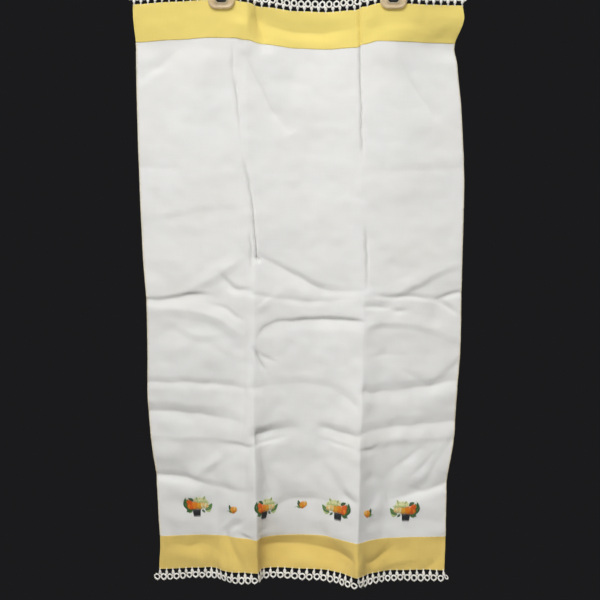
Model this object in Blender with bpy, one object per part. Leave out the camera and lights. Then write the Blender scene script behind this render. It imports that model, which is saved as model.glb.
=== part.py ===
"""Embroidered linen table runner, hung by its upper end from two clear hanger clips.

The runner is four cloth pieces and two lengths of lace, each its own solid: a white linen field with
narrow side hems, a yellow linen border lapped over each end of it, and a ringed lace edging sewn to the
outer edge of each border. It was ironed in thirds, so two sharp folds run down its whole length.

Each piece is laid out flat first, in cloth millimetres: x is across from the middle of the cloth, y is
down from the upper border's upper edge and z is how far the point is raised off the field's back.
hang() then carries every point to where it hangs. In the world +X is right, +Z is up and the cloth's
face looks along -Y. The origin is level with the tops of the clips, above the middle of the cloth.
"""

from bisect import bisect_right
from collections import namedtuple
from functools import lru_cache
from math import cos, exp, hypot, pi, sin, sqrt

import bmesh
import bpy
from mathutils import Vector

METRE = 0.001  # one millimetre, in Blender's metres

# Cloth, in millimetres
WIDTH = 370.0
LENGTH = 663.0  # both borders included, both laces not
BORDER = 41.0
LAP = 6.0  # how much of the field each border covers
THICK = 1.0
HEM_WIDTH = 4.5
HEM_EXTRA = 0.6  # the turned hem is this much thicker, on the back
GAP = 0.3  # between two pieces that touch
HALF = WIDTH / 2

# The ironed folds and the other sections across the cloth, as shares of its width
LEFT_FOLD = 0.346
RIGHT_FOLD = 0.691

# Lace, in millimetres. A ring sits between two bars, and the bars are sewn to the border.
RINGS = 48
LACE_OVERHANG = 7.0  # past each side of the cloth
LACE_THICK = 1.2
BAR_HEIGHT = 4.8
RING_HALF_HEIGHT = 4.0
RING_HOLE_RADIUS = 2.15
PITCH = (WIDTH + 2 * LACE_OVERHANG) / RINGS

# Clips, in millimetres
CLIP_WIDTH = 30.0
CLIP_HEIGHT = 44.0
CLIP_HEAD = 8.0
CLIP_GRIP = 9.0  # how far the jaws reach below the cloth's upper edge
JAW_THICK = 2.2
JAW_CORNER = 9.0
WINDOW_WIDTH = 10.4  # of the slot through each jaw, with a rounded lower end
WINDOW_TOP = -16.0
WINDOW_BOTTOM = -37.0
WINDOW_CORNER = 4.5
CLIP_HOLD = 18.0  # the cloth is flat this far each side of a clip's middle
CLIP_PLACES = {"left": -85.5, "right": 108.0}  # across the cloth
CLOTH_TOP = CLIP_GRIP - CLIP_HEIGHT  # height of the cloth's upper edge in the jaws

# How the cloth hangs at a few levels: where its side edges and its two folds are, and how far forward
# it comes at each of SECTION_SHARES. It bends smoothly at a section, or sharply at those in SHARP.
Level = namedtuple(
    "Level",
    "down left_side left_fold_at right_fold_at right_side"
    " left_edge left_mid left_rise left_fold left_foot middle"
    " right_rise right_fold right_flank right_foot right_edge",
)
SECTION_SHARES = (0.0, 0.20, 0.27, LEFT_FOLD, 0.404, 0.50, 0.585, RIGHT_FOLD, 0.751, 0.815, 1.0)
SHARP = (LEFT_FOLD, RIGHT_FOLD)
LEVELS = (
    Level(-14, -185, -59, 67, 182, -4, 0, 0, 1, -4, -8, -8, -4, -1, 0, -5),
    Level(2, -186, -59, 67, 182, -3, 0, 0, 1, -4, -8, -8, -4, -1, 0, -5),
    Level(17, -186, -59, 67, 183, -4, 0, 0, 2, -4, -8, -8, -4, -1, 0, -5),
    Level(43, -184, -59, 68, 174, -6, 0, 0, 2, -2, -6, -6, -3, 0, 1, -12),
    Level(63, -184, -60, 68, 177, -5, 0, 0, 1, -1, -5, -5, -2, 0, 1, -9),
    Level(112, -184, -60, 69, 182, -4, 0, 0, 1, -1, -3, -3, 0, 1, 2, -4),
    Level(197, -183, -56, 70, 187, -3, 0, 0, 1, 0, -2, -1, 1, 1, 1, -2),
    Level(287, -181, -51, 73, 187, -3, 0, 0, 2, -1, -1, 0, 2, 1, 1, -2),
    Level(335, -178, -52, 74, 187, -2, 0, 1, 3, 0, -1, 0, 4, 1, 0, -2),
    Level(402, -178, -53, 73, 187, -2, 0, 1, 4, 1, -1, 1, 7, 2, 0, -2),
    Level(452, -179, -54, 72, 184, -2, -1, 2, 7, 2, -1, 2, 11, 4, 1, -2),
    Level(502, -176, -54, 70, 182, -2, -1, 4, 12, 4, -1, 3, 17, 7, 2, -2),
    Level(552, -171, -53, 69, 175, -3, -1, 7, 15, 5, -1, 4, 23, 11, 4, 0),
    Level(602, -169, -52, 68, 174, -3, -2, 8, 17, 3, -3, 4, 26, 13, 6, 2),
    Level(632, -168, -52, 67, 174, -3, -3, 8, 17, 0, -4, 3, 28, 15, 7, 3),
    Level(663, -170, -51, 67, 173, -3, -2, 12, 17, -2, 1, 7, 31, 16, 7, 6),
    Level(678, -169, -51, 67, 174, -3, -2, 13, 17, -2, 3, 9, 32, 17, 8, 7),
)

# How much lower than the clips the cloth's upper edge hangs. This sag has gone by SAG_END.
Sag = namedtuple("Sag", "across drop")
SAG = (
    Sag(-185, 3.5),
    Sag(-140, 1.0),
    Sag(-98, -1.2),
    Sag(-72, -0.8),
    Sag(-58, 1.4),
    Sag(-40, 6.0),
    Sag(0, 10.3),
    Sag(32, 11.4),
    Sag(64, 9.6),
    Sag(76, 6.0),
    Sag(93, 2.5),
    Sag(122, 3.0),
    Sag(150, 4.0),
    Sag(185, 4.5),
)
SAG_START = 47.0
SAG_END = 187.0
CORNER_DROP = 2.5  # how much further the lower left corner hangs down
CORNER_REACH = 60.0  # across the cloth
CORNER_START = 560.0

# Smaller creases, as lines across the cloth. A trough's height is negative. The slopes are the widths
# over which the crease dies away on its upper or right side, and on its lower or left side.
Crease = namedtuple("Crease", "x0 y0 x1 y1 bow height upper_slope lower_slope")
CREASES = (
    Crease(-73, 52, -71, 148, 0, -1.6, 5, 5),  # below the left clip
    Crease(-63, 176, -55, 282, 0, -3.5, 5, 6),  # where the left fold is pulled in
    Crease(70, 4, 71, 167, 0, -3.0, 4, 4),  # along the right fold's upper part
    Crease(-53, 285, 66, 327, 10, -2.6, 6, 10),  # the middle fold and its sagging pulls
    Crease(-49, 374, 66, 360, -8, -3.2, 8, 5),
    Crease(-183, 334, -114, 330, 0, -2.4, 4, 8),
    Crease(-137, 326, -76, 289, 0, 2.0, 8, 6),
    Crease(-183, 345, -75, 374, -6, 2.6, 8, 7),
    Crease(92, 333, 183, 294, 0, 2.4, 9, 6),
    Crease(76, 365, 183, 375, -6, 2.2, 9, 6),
    Crease(-185, 434, -68, 439, 0, -3.2, 7, 10),  # the cross folds of the lower half
    Crease(76, 444, 185, 430, 0, -3.2, 8, 10),
    Crease(-185, 470, -68, 481, 0, -2.8, 7, 10),
    Crease(76, 489, 185, 479, 0, -2.8, 9, 8),
    Crease(-52, 491, 66, 495, -9, -3.6, 7, 8),
    Crease(-185, 549, -68, 564, 0, -4.0, 12, 10),
    Crease(120, 572, 185, 554, 0, -4.0, 12, 10),
    Crease(-34, 586, 48, 579, -8, -2.2, 6, 8),
)
RUN_STEPS = 32
STEEPEST = 0.97  # the most that a thread rises for its length
CREASE_FADE = 7.0  # past each end
CREASE_ROUND = 1.0  # radius of the crease's own bend

# The solid's mesh of columns and rows, with a row along each of the folds across the cloth
COLUMN_STEP = 15.0
ROW_STEP = 14.0
CROSS_FOLDS = (334, 361, 436, 474, 491, 556, 581)

COLOURS = {
    "linen": (0.86, 0.85, 0.82, 1.0),
    "yellow_linen": (0.84, 0.68, 0.19, 1.0),
    "lace_thread": (0.84, 0.82, 0.74, 1.0),
    "clear_plastic": (0.86, 0.88, 0.88, 0.35),
}


def ease(share):
    """A smooth step from 0 to 1."""
    share = min(1.0, max(0.0, share))
    return share * share * (3 - 2 * share)


def cubic_between(before, start, end, after, share):
    """A smooth curve through start and end, at share of the way from one to the other."""
    pull = (end - before) / 2
    push = (after - start) / 2
    rest = end - start
    bend = pull + push - 2 * rest
    return start + share * (pull + share * (3 * rest - 2 * pull - push + share * bend))


@lru_cache(maxsize=None)
def level_at(down):
    """The Level at any distance down the cloth, from the table's rows."""
    row = bisect_right([level.down for level in LEVELS], down) - 1
    row = min(max(row, 0), len(LEVELS) - 2)
    start, end = LEVELS[row], LEVELS[row + 1]
    before = LEVELS[max(row - 1, 0)]
    after = LEVELS[min(row + 2, len(LEVELS) - 1)]
    share = (down - start.down) / (end.down - start.down)
    return Level(*(cubic_between(*four, share) for four in zip(before, start, end, after)))


def bend(heights, section):
    """How steeply the cloth rises through a section."""
    before, after = max(section - 1, 0), min(section + 1, len(heights) - 1)
    return (heights[after] - heights[before]) / (SECTION_SHARES[after] - SECTION_SHARES[before])


def between_sections(heights, section, share):
    """The height between a section and the next, on a curve that is smooth but for SHARP sections."""
    start, end = SECTION_SHARES[section], SECTION_SHARES[section + 1]
    span = end - start
    rise = heights[section + 1] - heights[section]
    leaving = rise if start in SHARP else span * bend(heights, section)
    arriving = rise if end in SHARP else span * bend(heights, section + 1)
    part = (share - start) / span
    curve = (leaving - rise) * (1 - part) + (rise - arriving) * part
    return heights[section] + part * rise + part * (1 - part) * curve


def clip_hold(across, down):
    """0 where a clip holds the cloth flat, and 1 where it hangs freely."""
    held = 1.0
    for clip in CLIP_PLACES.values():
        past = hypot(
            max(0.0, abs(across - clip) - CLIP_HOLD),
            max(0.0, down - CLIP_GRIP - 3) * 1.2,
        )
        held = min(held, ease(past / 18))
    return held


def crease_height(crease, across, down):
    """How far one crease raises a point of the cloth."""
    run, fall = crease.x1 - crease.x0, crease.y1 - crease.y0
    length = hypot(run, fall)
    share = ((across - crease.x0) * run + (down - crease.y0) * fall) / length**2
    on_line = min(1.0, max(0.0, share))
    past_end = abs(share - on_line) * length
    off = ((down - crease.y0) * run - (across - crease.x0) * fall) / length
    off -= crease.bow * 4 * on_line * (1 - on_line)
    slope = crease.lower_slope if off > 0 else crease.upper_slope
    fall_off = (sqrt(off * off + CREASE_ROUND**2) - CREASE_ROUND) / slope
    return crease.height * exp(-fall_off - (past_end / CREASE_FADE) ** 2)


def forward(across, down):
    """How far the cloth comes forward of the clips' plane, in millimetres."""
    heights = level_at(down)[5:]
    share = min(1.0, max(0.0, across / WIDTH + 0.5))
    section = min(bisect_right(SECTION_SHARES, share) - 1, len(heights) - 2)
    height = between_sections(heights, section, share)
    height += sum(crease_height(crease, across, down) for crease in CREASES)
    return height * clip_hold(across, down)


def sag(across, down):
    """How much lower a point hangs, as the cloth sags from its clips and at its lower left corner."""
    row = bisect_right([point.across for point in SAG], across) - 1
    row = min(max(row, 0), len(SAG) - 2)
    start, end = SAG[row], SAG[row + 1]
    share = min(1.0, max(0.0, (across - start.across) / (end.across - start.across)))
    drop = start.drop + ease(share) * (end.drop - start.drop)
    corner = ease((CORNER_REACH - HALF - across) / CORNER_REACH)
    corner *= ease((down - CORNER_START) / (LENGTH - CORNER_START))
    return drop * (1 - ease((down - SAG_START) / (SAG_END - SAG_START))) + CORNER_DROP * corner


@lru_cache(maxsize=None)
def run_between(start, end, down):
    """Shares of the hanging width at even steps from start to end, as the thread keeps its length."""
    step = (end - start) / RUN_STEPS
    heights = [forward(start + i * step, down) for i in range(RUN_STEPS + 1)]
    places = [0.0]
    for low, high in zip(heights, heights[1:]):
        rise = min(abs(high - low), STEEPEST * step)
        places.append(places[-1] + sqrt(step * step - rise * rise))
    return [place / places[-1] for place in places]


def sideways(across, down):
    """Where a point of the cloth hangs along the world's X."""
    level = level_at(down)
    woven = (-HALF, (LEFT_FOLD - 0.5) * WIDTH, (RIGHT_FOLD - 0.5) * WIDTH, HALF)
    hung = (level.left_side, level.left_fold_at, level.right_fold_at, level.right_side)
    third = min(max(bisect_right(woven, across) - 1, 0), 2)
    steps = run_between(woven[third], woven[third + 1], down)
    along = (across - woven[third]) / (woven[third + 1] - woven[third]) * RUN_STEPS
    step = min(max(int(along), 0), RUN_STEPS - 1)
    share = steps[step] + (along - step) * (steps[step + 1] - steps[step])
    return hung[third] + share * (hung[third + 1] - hung[third])


def back_point(across, down):
    """World place, in millimetres, of a point on the field's back."""
    height = CLOTH_TOP - down - sag(across, down)
    return Vector((sideways(across, down), -forward(across, down), height))


def face_outwards(shape):
    """Turns every face of a closed shape outwards."""
    bmesh.ops.recalc_face_normals(shape, faces=shape.faces)
    if shape.calc_volume(signed=True) < 0:
        bmesh.ops.reverse_faces(shape, faces=shape.faces)


def chord_point(across, down):
    """back_point, but straight from each of the cloth's columns to the next, as its edges are."""
    places = columns()
    column = min(max(bisect_right(places, across), 1), len(places) - 1)
    left, right = places[column - 1], places[column]
    share = (across - left) / (right - left)
    return back_point(left, down).lerp(back_point(right, down), share)


def hang(shape, point=back_point):
    """Carries a piece that was laid out flat to where it hangs."""
    reach = 1.0
    for vertex in shape.verts:
        across, down, raised = vertex.co
        rightwards = point(across + reach, down) - point(across - reach, down)
        downwards = point(across, down + reach) - point(across, down - reach)
        facing = downwards.cross(rightwards).normalized()
        vertex.co = (point(across, down) + raised * facing) * METRE
    face_outwards(shape)


def even_places(start, end, step, keep):
    """Places from start to end, about a step apart, that include each of keep."""
    stops = sorted({start, end, *(place for place in keep if start < place < end)})
    places = []
    for low, high in zip(stops, stops[1:]):
        count = max(1, round((high - low) / step))
        places += [low + (high - low) * i / count for i in range(count)]
    return [*places, end]


@lru_cache(maxsize=None)
def columns():
    """Where the cloth's mesh has columns: by hems, sections and clips, and about evenly between."""
    keep = [(share - 0.5) * WIDTH for share in SECTION_SHARES]
    keep += [clip + side for clip in CLIP_PLACES.values() for side in (-CLIP_HOLD, CLIP_HOLD)]
    keep += [HEM_WIDTH - HALF, HALF - HEM_WIDTH]
    return even_places(-HALF, HALF, COLUMN_STEP, keep)


def rows(start, end):
    """Where the cloth's mesh has rows: at the laps, the cross folds and about evenly between."""
    keep = [CLIP_GRIP + 3, BORDER - LAP, BORDER, LENGTH - BORDER, LENGTH - BORDER + LAP]
    keep += CROSS_FOLDS
    return even_places(start, end, ROW_STEP, keep)


def thicken(shape, thickness):
    """Turns a flat layout into a closed sheet of one thickness."""
    bmesh.ops.triangulate(shape, faces=shape.faces, quad_method="FIXED")
    face = bmesh.ops.extrude_face_region(shape, geom=shape.faces[:], use_keep_orig=True)["geom"]
    raised = [part for part in face if isinstance(part, bmesh.types.BMVert)]
    bmesh.ops.translate(shape, verts=raised, vec=(0, 0, thickness))


def cloth_piece(start, end, raised):
    """A length of cloth between two levels, with a thicker hem down each side except in the laps."""
    shape = bmesh.new()
    across, down = columns(), rows(start, end)
    grid = [[shape.verts.new((x, y, raised)) for x in across] for y in down]
    for upper, lower in zip(grid, grid[1:]):
        for corners in zip(upper, upper[1:], lower[1:], lower):
            shape.faces.new(corners)
    thicken(shape, THICK)
    for vertex in shape.verts:
        x, y, z = vertex.co
        lapped = raised > 0 and BORDER - LAP - 0.01 < y < LENGTH - BORDER + LAP + 0.01
        if abs(x) > HALF - HEM_WIDTH + 0.01 and z < raised + THICK / 2 and not lapped:
            vertex.co.z -= HEM_EXTRA
    hang(shape)
    return shape


def ring_outline(centre):
    """Ten points round a lace ring, from its joint with the ring on its right. Down is positive."""
    half = PITCH / 2
    joint, shoulder_x, shoulder_y = 0.8, half * 0.70, RING_HALF_HEIGHT * 0.70
    quarter = ((half, -joint), (shoulder_x, -shoulder_y), (0.0, -RING_HALF_HEIGHT))
    upper = [*quarter, (-shoulder_x, -shoulder_y), (-half, -joint)]
    lower = [(x, -y) for x, y in reversed(upper)]
    return [(centre[0] + x, centre[1] + y) for x, y in [*upper, *lower]]


def lace_corner(shape, corners, point):
    """The layout's vertex at a point, made once and shared by the rings and bars that meet there."""
    key = (round(point[0], 3), round(point[1], 3))
    if key not in corners:
        corners[key] = shape.verts.new((*point, 0.0))
    return corners[key]


def lace_ring(shape, corners, centre):
    """One open ring. Its sides are fused to the rings beside it."""
    outer = ring_outline(centre)
    inner = []
    for x, y in outer:
        reach = hypot(x - centre[0], y - centre[1]) / RING_HOLE_RADIUS
        inner.append((centre[0] + (x - centre[0]) / reach, centre[1] + (y - centre[1]) / reach))
    for i in range(len(outer)):
        nearby = (i + 1) % len(outer)
        points = (outer[i], outer[nearby], inner[nearby], inner[i])
        shape.faces.new([lace_corner(shape, corners, point) for point in points])


def lace_bar(shape, corners, place, joint, shoulders):
    """One teardrop bar, from the border's edge to the joint of two rings."""
    belly, tip = 1.8, 1.0
    middle = BAR_HEIGHT * 0.62
    right, left = shoulders
    sides = [
        ((place - tip, GAP), (place + tip, GAP)),
        ((place - belly, middle), (place + belly, middle)),
        (left, right),
    ]
    for (low_left, low_right), (high_left, high_right) in zip(sides, sides[1:]):
        points = (low_left, low_right, high_right, high_left)
        shape.faces.new([lace_corner(shape, corners, point) for point in points])
    shape.faces.new([lace_corner(shape, corners, point) for point in (left, right, joint)])


def lace_layout():
    """The whole edging laid flat, with y measured away from the border's edge."""
    shape = bmesh.new()
    corners = {}
    start = -PITCH * RINGS / 2
    level = GAP + BAR_HEIGHT + RING_HALF_HEIGHT
    for i in range(RINGS):
        lace_ring(shape, corners, (start + (i + 0.5) * PITCH, level))
    for i in range(1, RINGS):
        before = ring_outline((start + (i - 0.5) * PITCH, level))
        after = ring_outline((start + (i + 0.5) * PITCH, level))
        lace_bar(shape, corners, start + i * PITCH, before[0], (after[3], before[1]))
    return shape


def lace_edging(at_top):
    """The edging of one end, at the middle of its border's thickness."""
    shape = lace_layout()
    thicken(shape, LACE_THICK)
    lift = THICK + GAP + (THICK - LACE_THICK) / 2
    for vertex in shape.verts:
        vertex.co.z += lift
        vertex.co.y = -vertex.co.y if at_top else LENGTH + vertex.co.y
    hang(shape, chord_point)
    return shape


def arc(centre_x, centre_z, radius, start, end, steps=6):
    """Points along an arc between two angles, in radians."""
    angles = [start + (end - start) * i / steps for i in range(steps + 1)]
    return [(centre_x + radius * cos(a), centre_z + radius * sin(a)) for a in angles]


def round_ended(width, top, bottom, corner):
    """Points round a plate or slot with a straight top and round lower corners."""
    half = width / 2
    points = [(-half, top), *arc(corner - half, bottom + corner, corner, pi, 1.5 * pi)]
    return [*points, *arc(half - corner, bottom + corner, corner, 1.5 * pi, 2 * pi), (half, top)]


def clip_jaw():
    """A jaw plate with a slot, its gripping face at y 0 and its back towards -Y."""
    outlines = (
        round_ended(CLIP_WIDTH, -CLIP_HEAD - GAP, -CLIP_HEIGHT, JAW_CORNER),
        round_ended(WINDOW_WIDTH, WINDOW_TOP, WINDOW_BOTTOM, WINDOW_CORNER),
    )
    shape = bmesh.new()
    rim, slot = ([shape.verts.new((x, 0, z)) for x, z in outline] for outline in outlines)
    faces = []
    for i in range(len(rim)):
        nearby = (i + 1) % len(rim)
        faces.append(shape.faces.new((rim[i], rim[nearby], slot[nearby], slot[i])))
    moved = bmesh.ops.extrude_face_region(shape, geom=faces, use_keep_orig=True)["geom"]
    verts = [part for part in moved if isinstance(part, bmesh.types.BMVert)]
    bmesh.ops.translate(shape, verts=verts, vec=(0, -JAW_THICK, 0))
    face_outwards(shape)
    return shape


def clip_head(depth):
    """The block that joins the two jaws, with a flat top."""
    shape = bmesh.new()
    bmesh.ops.create_cube(shape, size=1)
    bmesh.ops.scale(shape, verts=shape.verts, vec=(CLIP_WIDTH, depth, CLIP_HEAD))
    bmesh.ops.translate(shape, verts=shape.verts, vec=(0, 0, -CLIP_HEAD / 2))
    upright = [
        edge for edge in shape.edges if abs(edge.verts[0].co.z - edge.verts[1].co.z) > 1
    ]
    bmesh.ops.bevel(shape, geom=upright, offset=1.5, segments=3, affect="EDGES")
    return shape


def scaled(shape):
    """The shape in metres."""
    bmesh.ops.scale(shape, verts=shape.verts, vec=(METRE,) * 3)
    return shape


def material(name):
    """A plain finish in the piece's own colour."""
    found = bpy.data.materials.get(name)
    if found:
        return found
    finish = bpy.data.materials.new(name)
    finish.use_nodes = True
    shader = finish.node_tree.nodes["Principled BSDF"]
    shader.inputs["Base Color"].default_value = COLOURS[name]
    shader.inputs["Alpha"].default_value = COLOURS[name][3]
    shader.inputs["Roughness"].default_value = 0.15 if name == "clear_plastic" else 0.85
    shader.inputs["Metallic"].default_value = 0.0
    return finish


def add(name, shape, finish, location=(0, 0, 0), turned=False):
    """Makes one object of a shape. A turned one is swung half round the vertical."""
    mesh = bpy.data.meshes.new(name)
    shape.to_mesh(mesh)
    shape.free()
    mesh.materials.append(material(finish))
    piece = bpy.data.objects.new(name, mesh)
    piece.location = location
    piece.rotation_euler.z = pi if turned else 0.0
    bpy.context.scene.collection.objects.link(piece)
    return piece


def add_clip(name, across):
    """Two clear jaws that pinch the cloth's upper edge and the lace, under a flat-topped head."""
    x = sideways(across, 0) * METRE
    lace_front = THICK + GAP + (THICK + LACE_THICK) / 2
    front_face = lace_front + GAP
    back_face = lace_front - LACE_THICK - GAP
    middle = (front_face + back_face) / 2
    depth = front_face - back_face + 2 * JAW_THICK
    front, back = (x, -front_face * METRE, 0), (x, -back_face * METRE, 0)
    add(f"{name}_clip_front_jaw", scaled(clip_jaw()), "clear_plastic", front)
    add(f"{name}_clip_back_jaw", scaled(clip_jaw()), "clear_plastic", back, turned=True)
    head = (x, -middle * METRE, 0)
    add(f"{name}_clip_head", scaled(clip_head(depth)), "clear_plastic", head)


def main():
    for old in list(bpy.data.objects):
        bpy.data.objects.remove(old)
    border_lift = THICK + GAP
    field = cloth_piece(BORDER - LAP, LENGTH - BORDER + LAP, 0.0)
    add("linen_field", field, "linen")
    add("upper_border", cloth_piece(0.0, BORDER, border_lift), "yellow_linen")
    add("lower_border", cloth_piece(LENGTH - BORDER, LENGTH, border_lift), "yellow_linen")
    add("upper_lace", lace_edging(at_top=True), "lace_thread")
    add("lower_lace", lace_edging(at_top=False), "lace_thread")
    for name, across in CLIP_PLACES.items():
        add_clip(name, across)


main()
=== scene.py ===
"""The looks of an embroidered linen table runner that hangs from two clear hanger clips.

The runner is made the way it is sewn: a white linen field with narrow turned hems, a yellow linen
border lapped over each end, tatted lace along the borders' outer edges, and baskets of fruit worked in
stranded cotton. It was ironed in thirds and then folded across, and it hangs with those creases in it.

Cloth places are in millimetres: across from the middle of the cloth, and down from the upper border's
upper edge. HUNG turns them into places in the room.
"""
import random
from collections import namedtuple
from math import cos, pi, radians, sin

import bmesh
import bpy
import numpy as np
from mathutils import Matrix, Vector


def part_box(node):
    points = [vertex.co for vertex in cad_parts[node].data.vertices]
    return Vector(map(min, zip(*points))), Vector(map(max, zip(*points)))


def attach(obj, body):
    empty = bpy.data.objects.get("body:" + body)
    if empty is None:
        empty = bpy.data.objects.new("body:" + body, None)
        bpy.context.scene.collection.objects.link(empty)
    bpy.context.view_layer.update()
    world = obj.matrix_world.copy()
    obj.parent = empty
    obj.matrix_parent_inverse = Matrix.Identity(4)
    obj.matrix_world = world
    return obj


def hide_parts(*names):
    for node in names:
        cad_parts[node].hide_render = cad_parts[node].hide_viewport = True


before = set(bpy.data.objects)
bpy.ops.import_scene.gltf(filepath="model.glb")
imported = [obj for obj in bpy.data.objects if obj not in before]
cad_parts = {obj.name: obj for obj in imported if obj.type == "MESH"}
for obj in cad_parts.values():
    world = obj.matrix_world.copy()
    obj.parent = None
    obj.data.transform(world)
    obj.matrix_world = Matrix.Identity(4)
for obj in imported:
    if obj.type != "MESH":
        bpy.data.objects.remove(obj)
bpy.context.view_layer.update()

METRE = 0.001  # metres in a millimetre
CHANCE = random.Random(7)


def stray(reach):
    """A random step, up to reach either way."""
    return CHANCE.uniform(-reach, reach)


# ---- The runner's sizes, in millimetres ----
WIDTH = 370.0
LENGTH = 663.0
BORDER = 41.0
LAP = 6.0
HALF = WIDTH / 2
CLOTH_TOP = -35.0  # height of the cloth's upper edge in the clips

# How far each piece's face stands in front of the back of the cloth
FIELD_FACE = 0.9
BORDER_FACE = 1.3
LACE_MIDDLE = 1.6

# The ironed folds, as shares of the cloth's width
LEFT_FOLD = 0.346
RIGHT_FOLD = 0.691
LEFT_FOLD_ACROSS = (LEFT_FOLD - 0.5) * WIDTH
RIGHT_FOLD_ACROSS = (RIGHT_FOLD - 0.5) * WIDTH

# Lace
RINGS = 48
LACE_OVERHANG = 7.0
BAR_HEIGHT = 4.8
RING_HALF_HEIGHT = 4.0
PITCH = (WIDTH + 2 * LACE_OVERHANG) / RINGS
RING_STITCHES = 22  # ridges round each ring
RING_STEPS = 3 * RING_STITCHES
ROPE = 2.0
ROPE_FLATNESS = 1.45 / ROPE  # thickness against width
RING_INSET = 1.0  # from a ring's outside to the middle of its rope
BAR_WRAPS = 8
BAR_NECK = 1.15  # a bar's width at the border
BAR_BELLIES = (3.2, 3.8)
BAR_FLATNESS = 0.6
BAR_THICKEST = 1.9
LOOP = (0.36, 0.32)  # a picot's width and thickness
BORDER_WHIP = (0.42, 0.32)

# Clips, and the cloth that they hold flat
CLIP_PLACES = {"left": -85.5, "right": 108.0}
CLIP_HOLD = 18.0  # to each side
CLIP_GRIP = 9.0  # down the cloth
CLIP_BELOW = 3.0  # how far past the grip it stays flat
CLIP_FREE = 18.0  # how much further on it hangs freely
WINDOW_WIDTH = 11.4
WINDOW_RISE = 7.0  # from a jaw's tip
WINDOW_LENGTH = 21.0
JAW_CORNER, SLOT_CORNER, UPPER_CORNER = 9.0, 3.0, 1.6
SHARPEST_CORNER = 0.15
CORNER_STEPS = 8
SPRING_THICK = 0.35
RIB = 0.28  # radius of a gripping rib
RIB_RISES = (2.6, 4.5, 6.4)  # from a jaw's tip
HEAD_RIM = 1.8
HEAD_PANEL = 0.5  # how deep a head's panels are sunk
HEAD_SLOPE = 0.4
HEAD_ROUND = 0.25

# Stretches of the cloths' grids, closer where folds and stitches are: where each ends, and its step
COLUMNS = (
    (LEFT_FOLD_ACROSS - 16, 1.9), (LEFT_FOLD_ACROSS + 12, 0.95), (60.0, 1.8), (80.0, 0.95), (HALF, 1.9),
)
FIELD_ROWS = ((272.0, 2.6), (LENGTH - BORDER + LAP, 1.35))
BORDER_STEP = 1.2
SIDE_TURN, END_TURN = (4.5, 0.5), (3.0, 0.4)  # how deep the edges are turned, and how thick they are

# Threads
FINE, ROUND = 5, 8  # sides of fine and of thick threads
STITCH_POINTS = 6
STITCH_FLATNESS = 0.75  # thickness against width
SUNK = 0.15  # how deep a stitch's ends go into the cloth

# Stitches along the edges and seams
HEM_WHIP = (0.5, 0.35)  # a hem stitch's width and thickness
WHIP_REACH = 1.5  # in from the edge
WHIP_ROUND = 0.25  # out past it
WHIP_RISE = 0.55  # off the middle of the hem
WHIP_SLANT = 1.1
WHIP_STEPS = (1.25, 1.6)
RUN_SHAPE = (0.38, 0.16, BORDER_FACE)  # a running stitch's width and rise, and what it lies on
RUN_LENGTH = 1.7
RUN_STEP = 2.9
RUN_MARGIN = 3.0  # from the first one to the border's edge

# Embroidery
STRAND = 0.5
SATIN_STEP = 0.44  # between a fruit's stitches
SATIN_RISE = 0.55  # how much more a fruit is padded in its middle
LEAF_STEP = 0.5
HEAP_STEP = 0.62
HEAP_SHAPE = (0.8, 0.3)  # a stitch's width and rise
LEAF_RISE, VEIN_RISE = 0.3, 0.62
PETALS = 5

# How the cloth hangs at a few levels. Each row says how far down it is, where across the room the left
# side, the left fold, the right fold and the right side are, and how far forward the cloth comes at each
# of SECTION_SHARES. It bends smoothly at a section, or sharply at those in SHARP.
SECTION_SHARES = (0.0, 0.20, 0.27, LEFT_FOLD, 0.404, 0.50, 0.585, RIGHT_FOLD, 0.751, 0.815, 1.0)
SHARP = (LEFT_FOLD, RIGHT_FOLD)
LEVELS = (
    (-14, -185, -59, 67, 182, -4, 0, 0, 1, -4, -8, -8, -4, -1, 0, -5),
    (2, -186, -59, 67, 182, -3, 0, 0, 1, -4, -8, -8, -4, -1, 0, -5),
    (17, -186, -59, 67, 183, -4, 0, 0, 2, -4, -8, -8, -4, -1, 0, -5),
    (43, -184, -59, 68, 174, -6, 0, 0, 2, -2, -6, -6, -3, 0, 1, -12),
    (63, -184, -60, 68, 177, -5, 0, 0, 1, -1, -5, -5, -2, 0, 1, -9),
    (112, -184, -60, 69, 182, -4, 0, 0, 1, -1, -3, -3, 0, 1, 2, -4),
    (197, -183, -56, 70, 187, -3, 0, 0, 1, 0, -2, -1, 1, 1, 1, -2),
    (287, -181, -51, 73, 187, -3, 0, 0, 2, -1, -1, 0, 2, 1, 1, -2),
    (335, -178, -52, 74, 187, -2, 0, 1, 3, 0, -1, 0, 4, 1, 0, -2),
    (402, -178, -53, 73, 187, -2, 0, 1, 4, 1, -1, 1, 7, 2, 0, -2),
    (452, -179, -54, 72, 184, -2, -1, 2, 7, 2, -1, 2, 11, 4, 1, -2),
    (502, -176, -54, 70, 182, -2, -1, 4, 12, 4, -1, 3, 17, 7, 2, -2),
    (552, -171, -53, 69, 175, -3, -1, 7, 15, 5, -1, 4, 23, 11, 4, 0),
    (602, -169, -52, 68, 174, -3, -2, 8, 17, 3, -3, 4, 26, 13, 6, 2),
    (632, -168, -52, 67, 174, -3, -3, 8, 17, 0, -4, 3, 28, 15, 7, 3),
    (663, -170, -51, 67, 173, -3, -2, 12, 17, -2, 1, 7, 31, 16, 7, 6),
    (678, -169, -51, 67, 174, -3, -2, 13, 17, -2, 3, 9, 32, 17, 8, 7),
)

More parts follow.
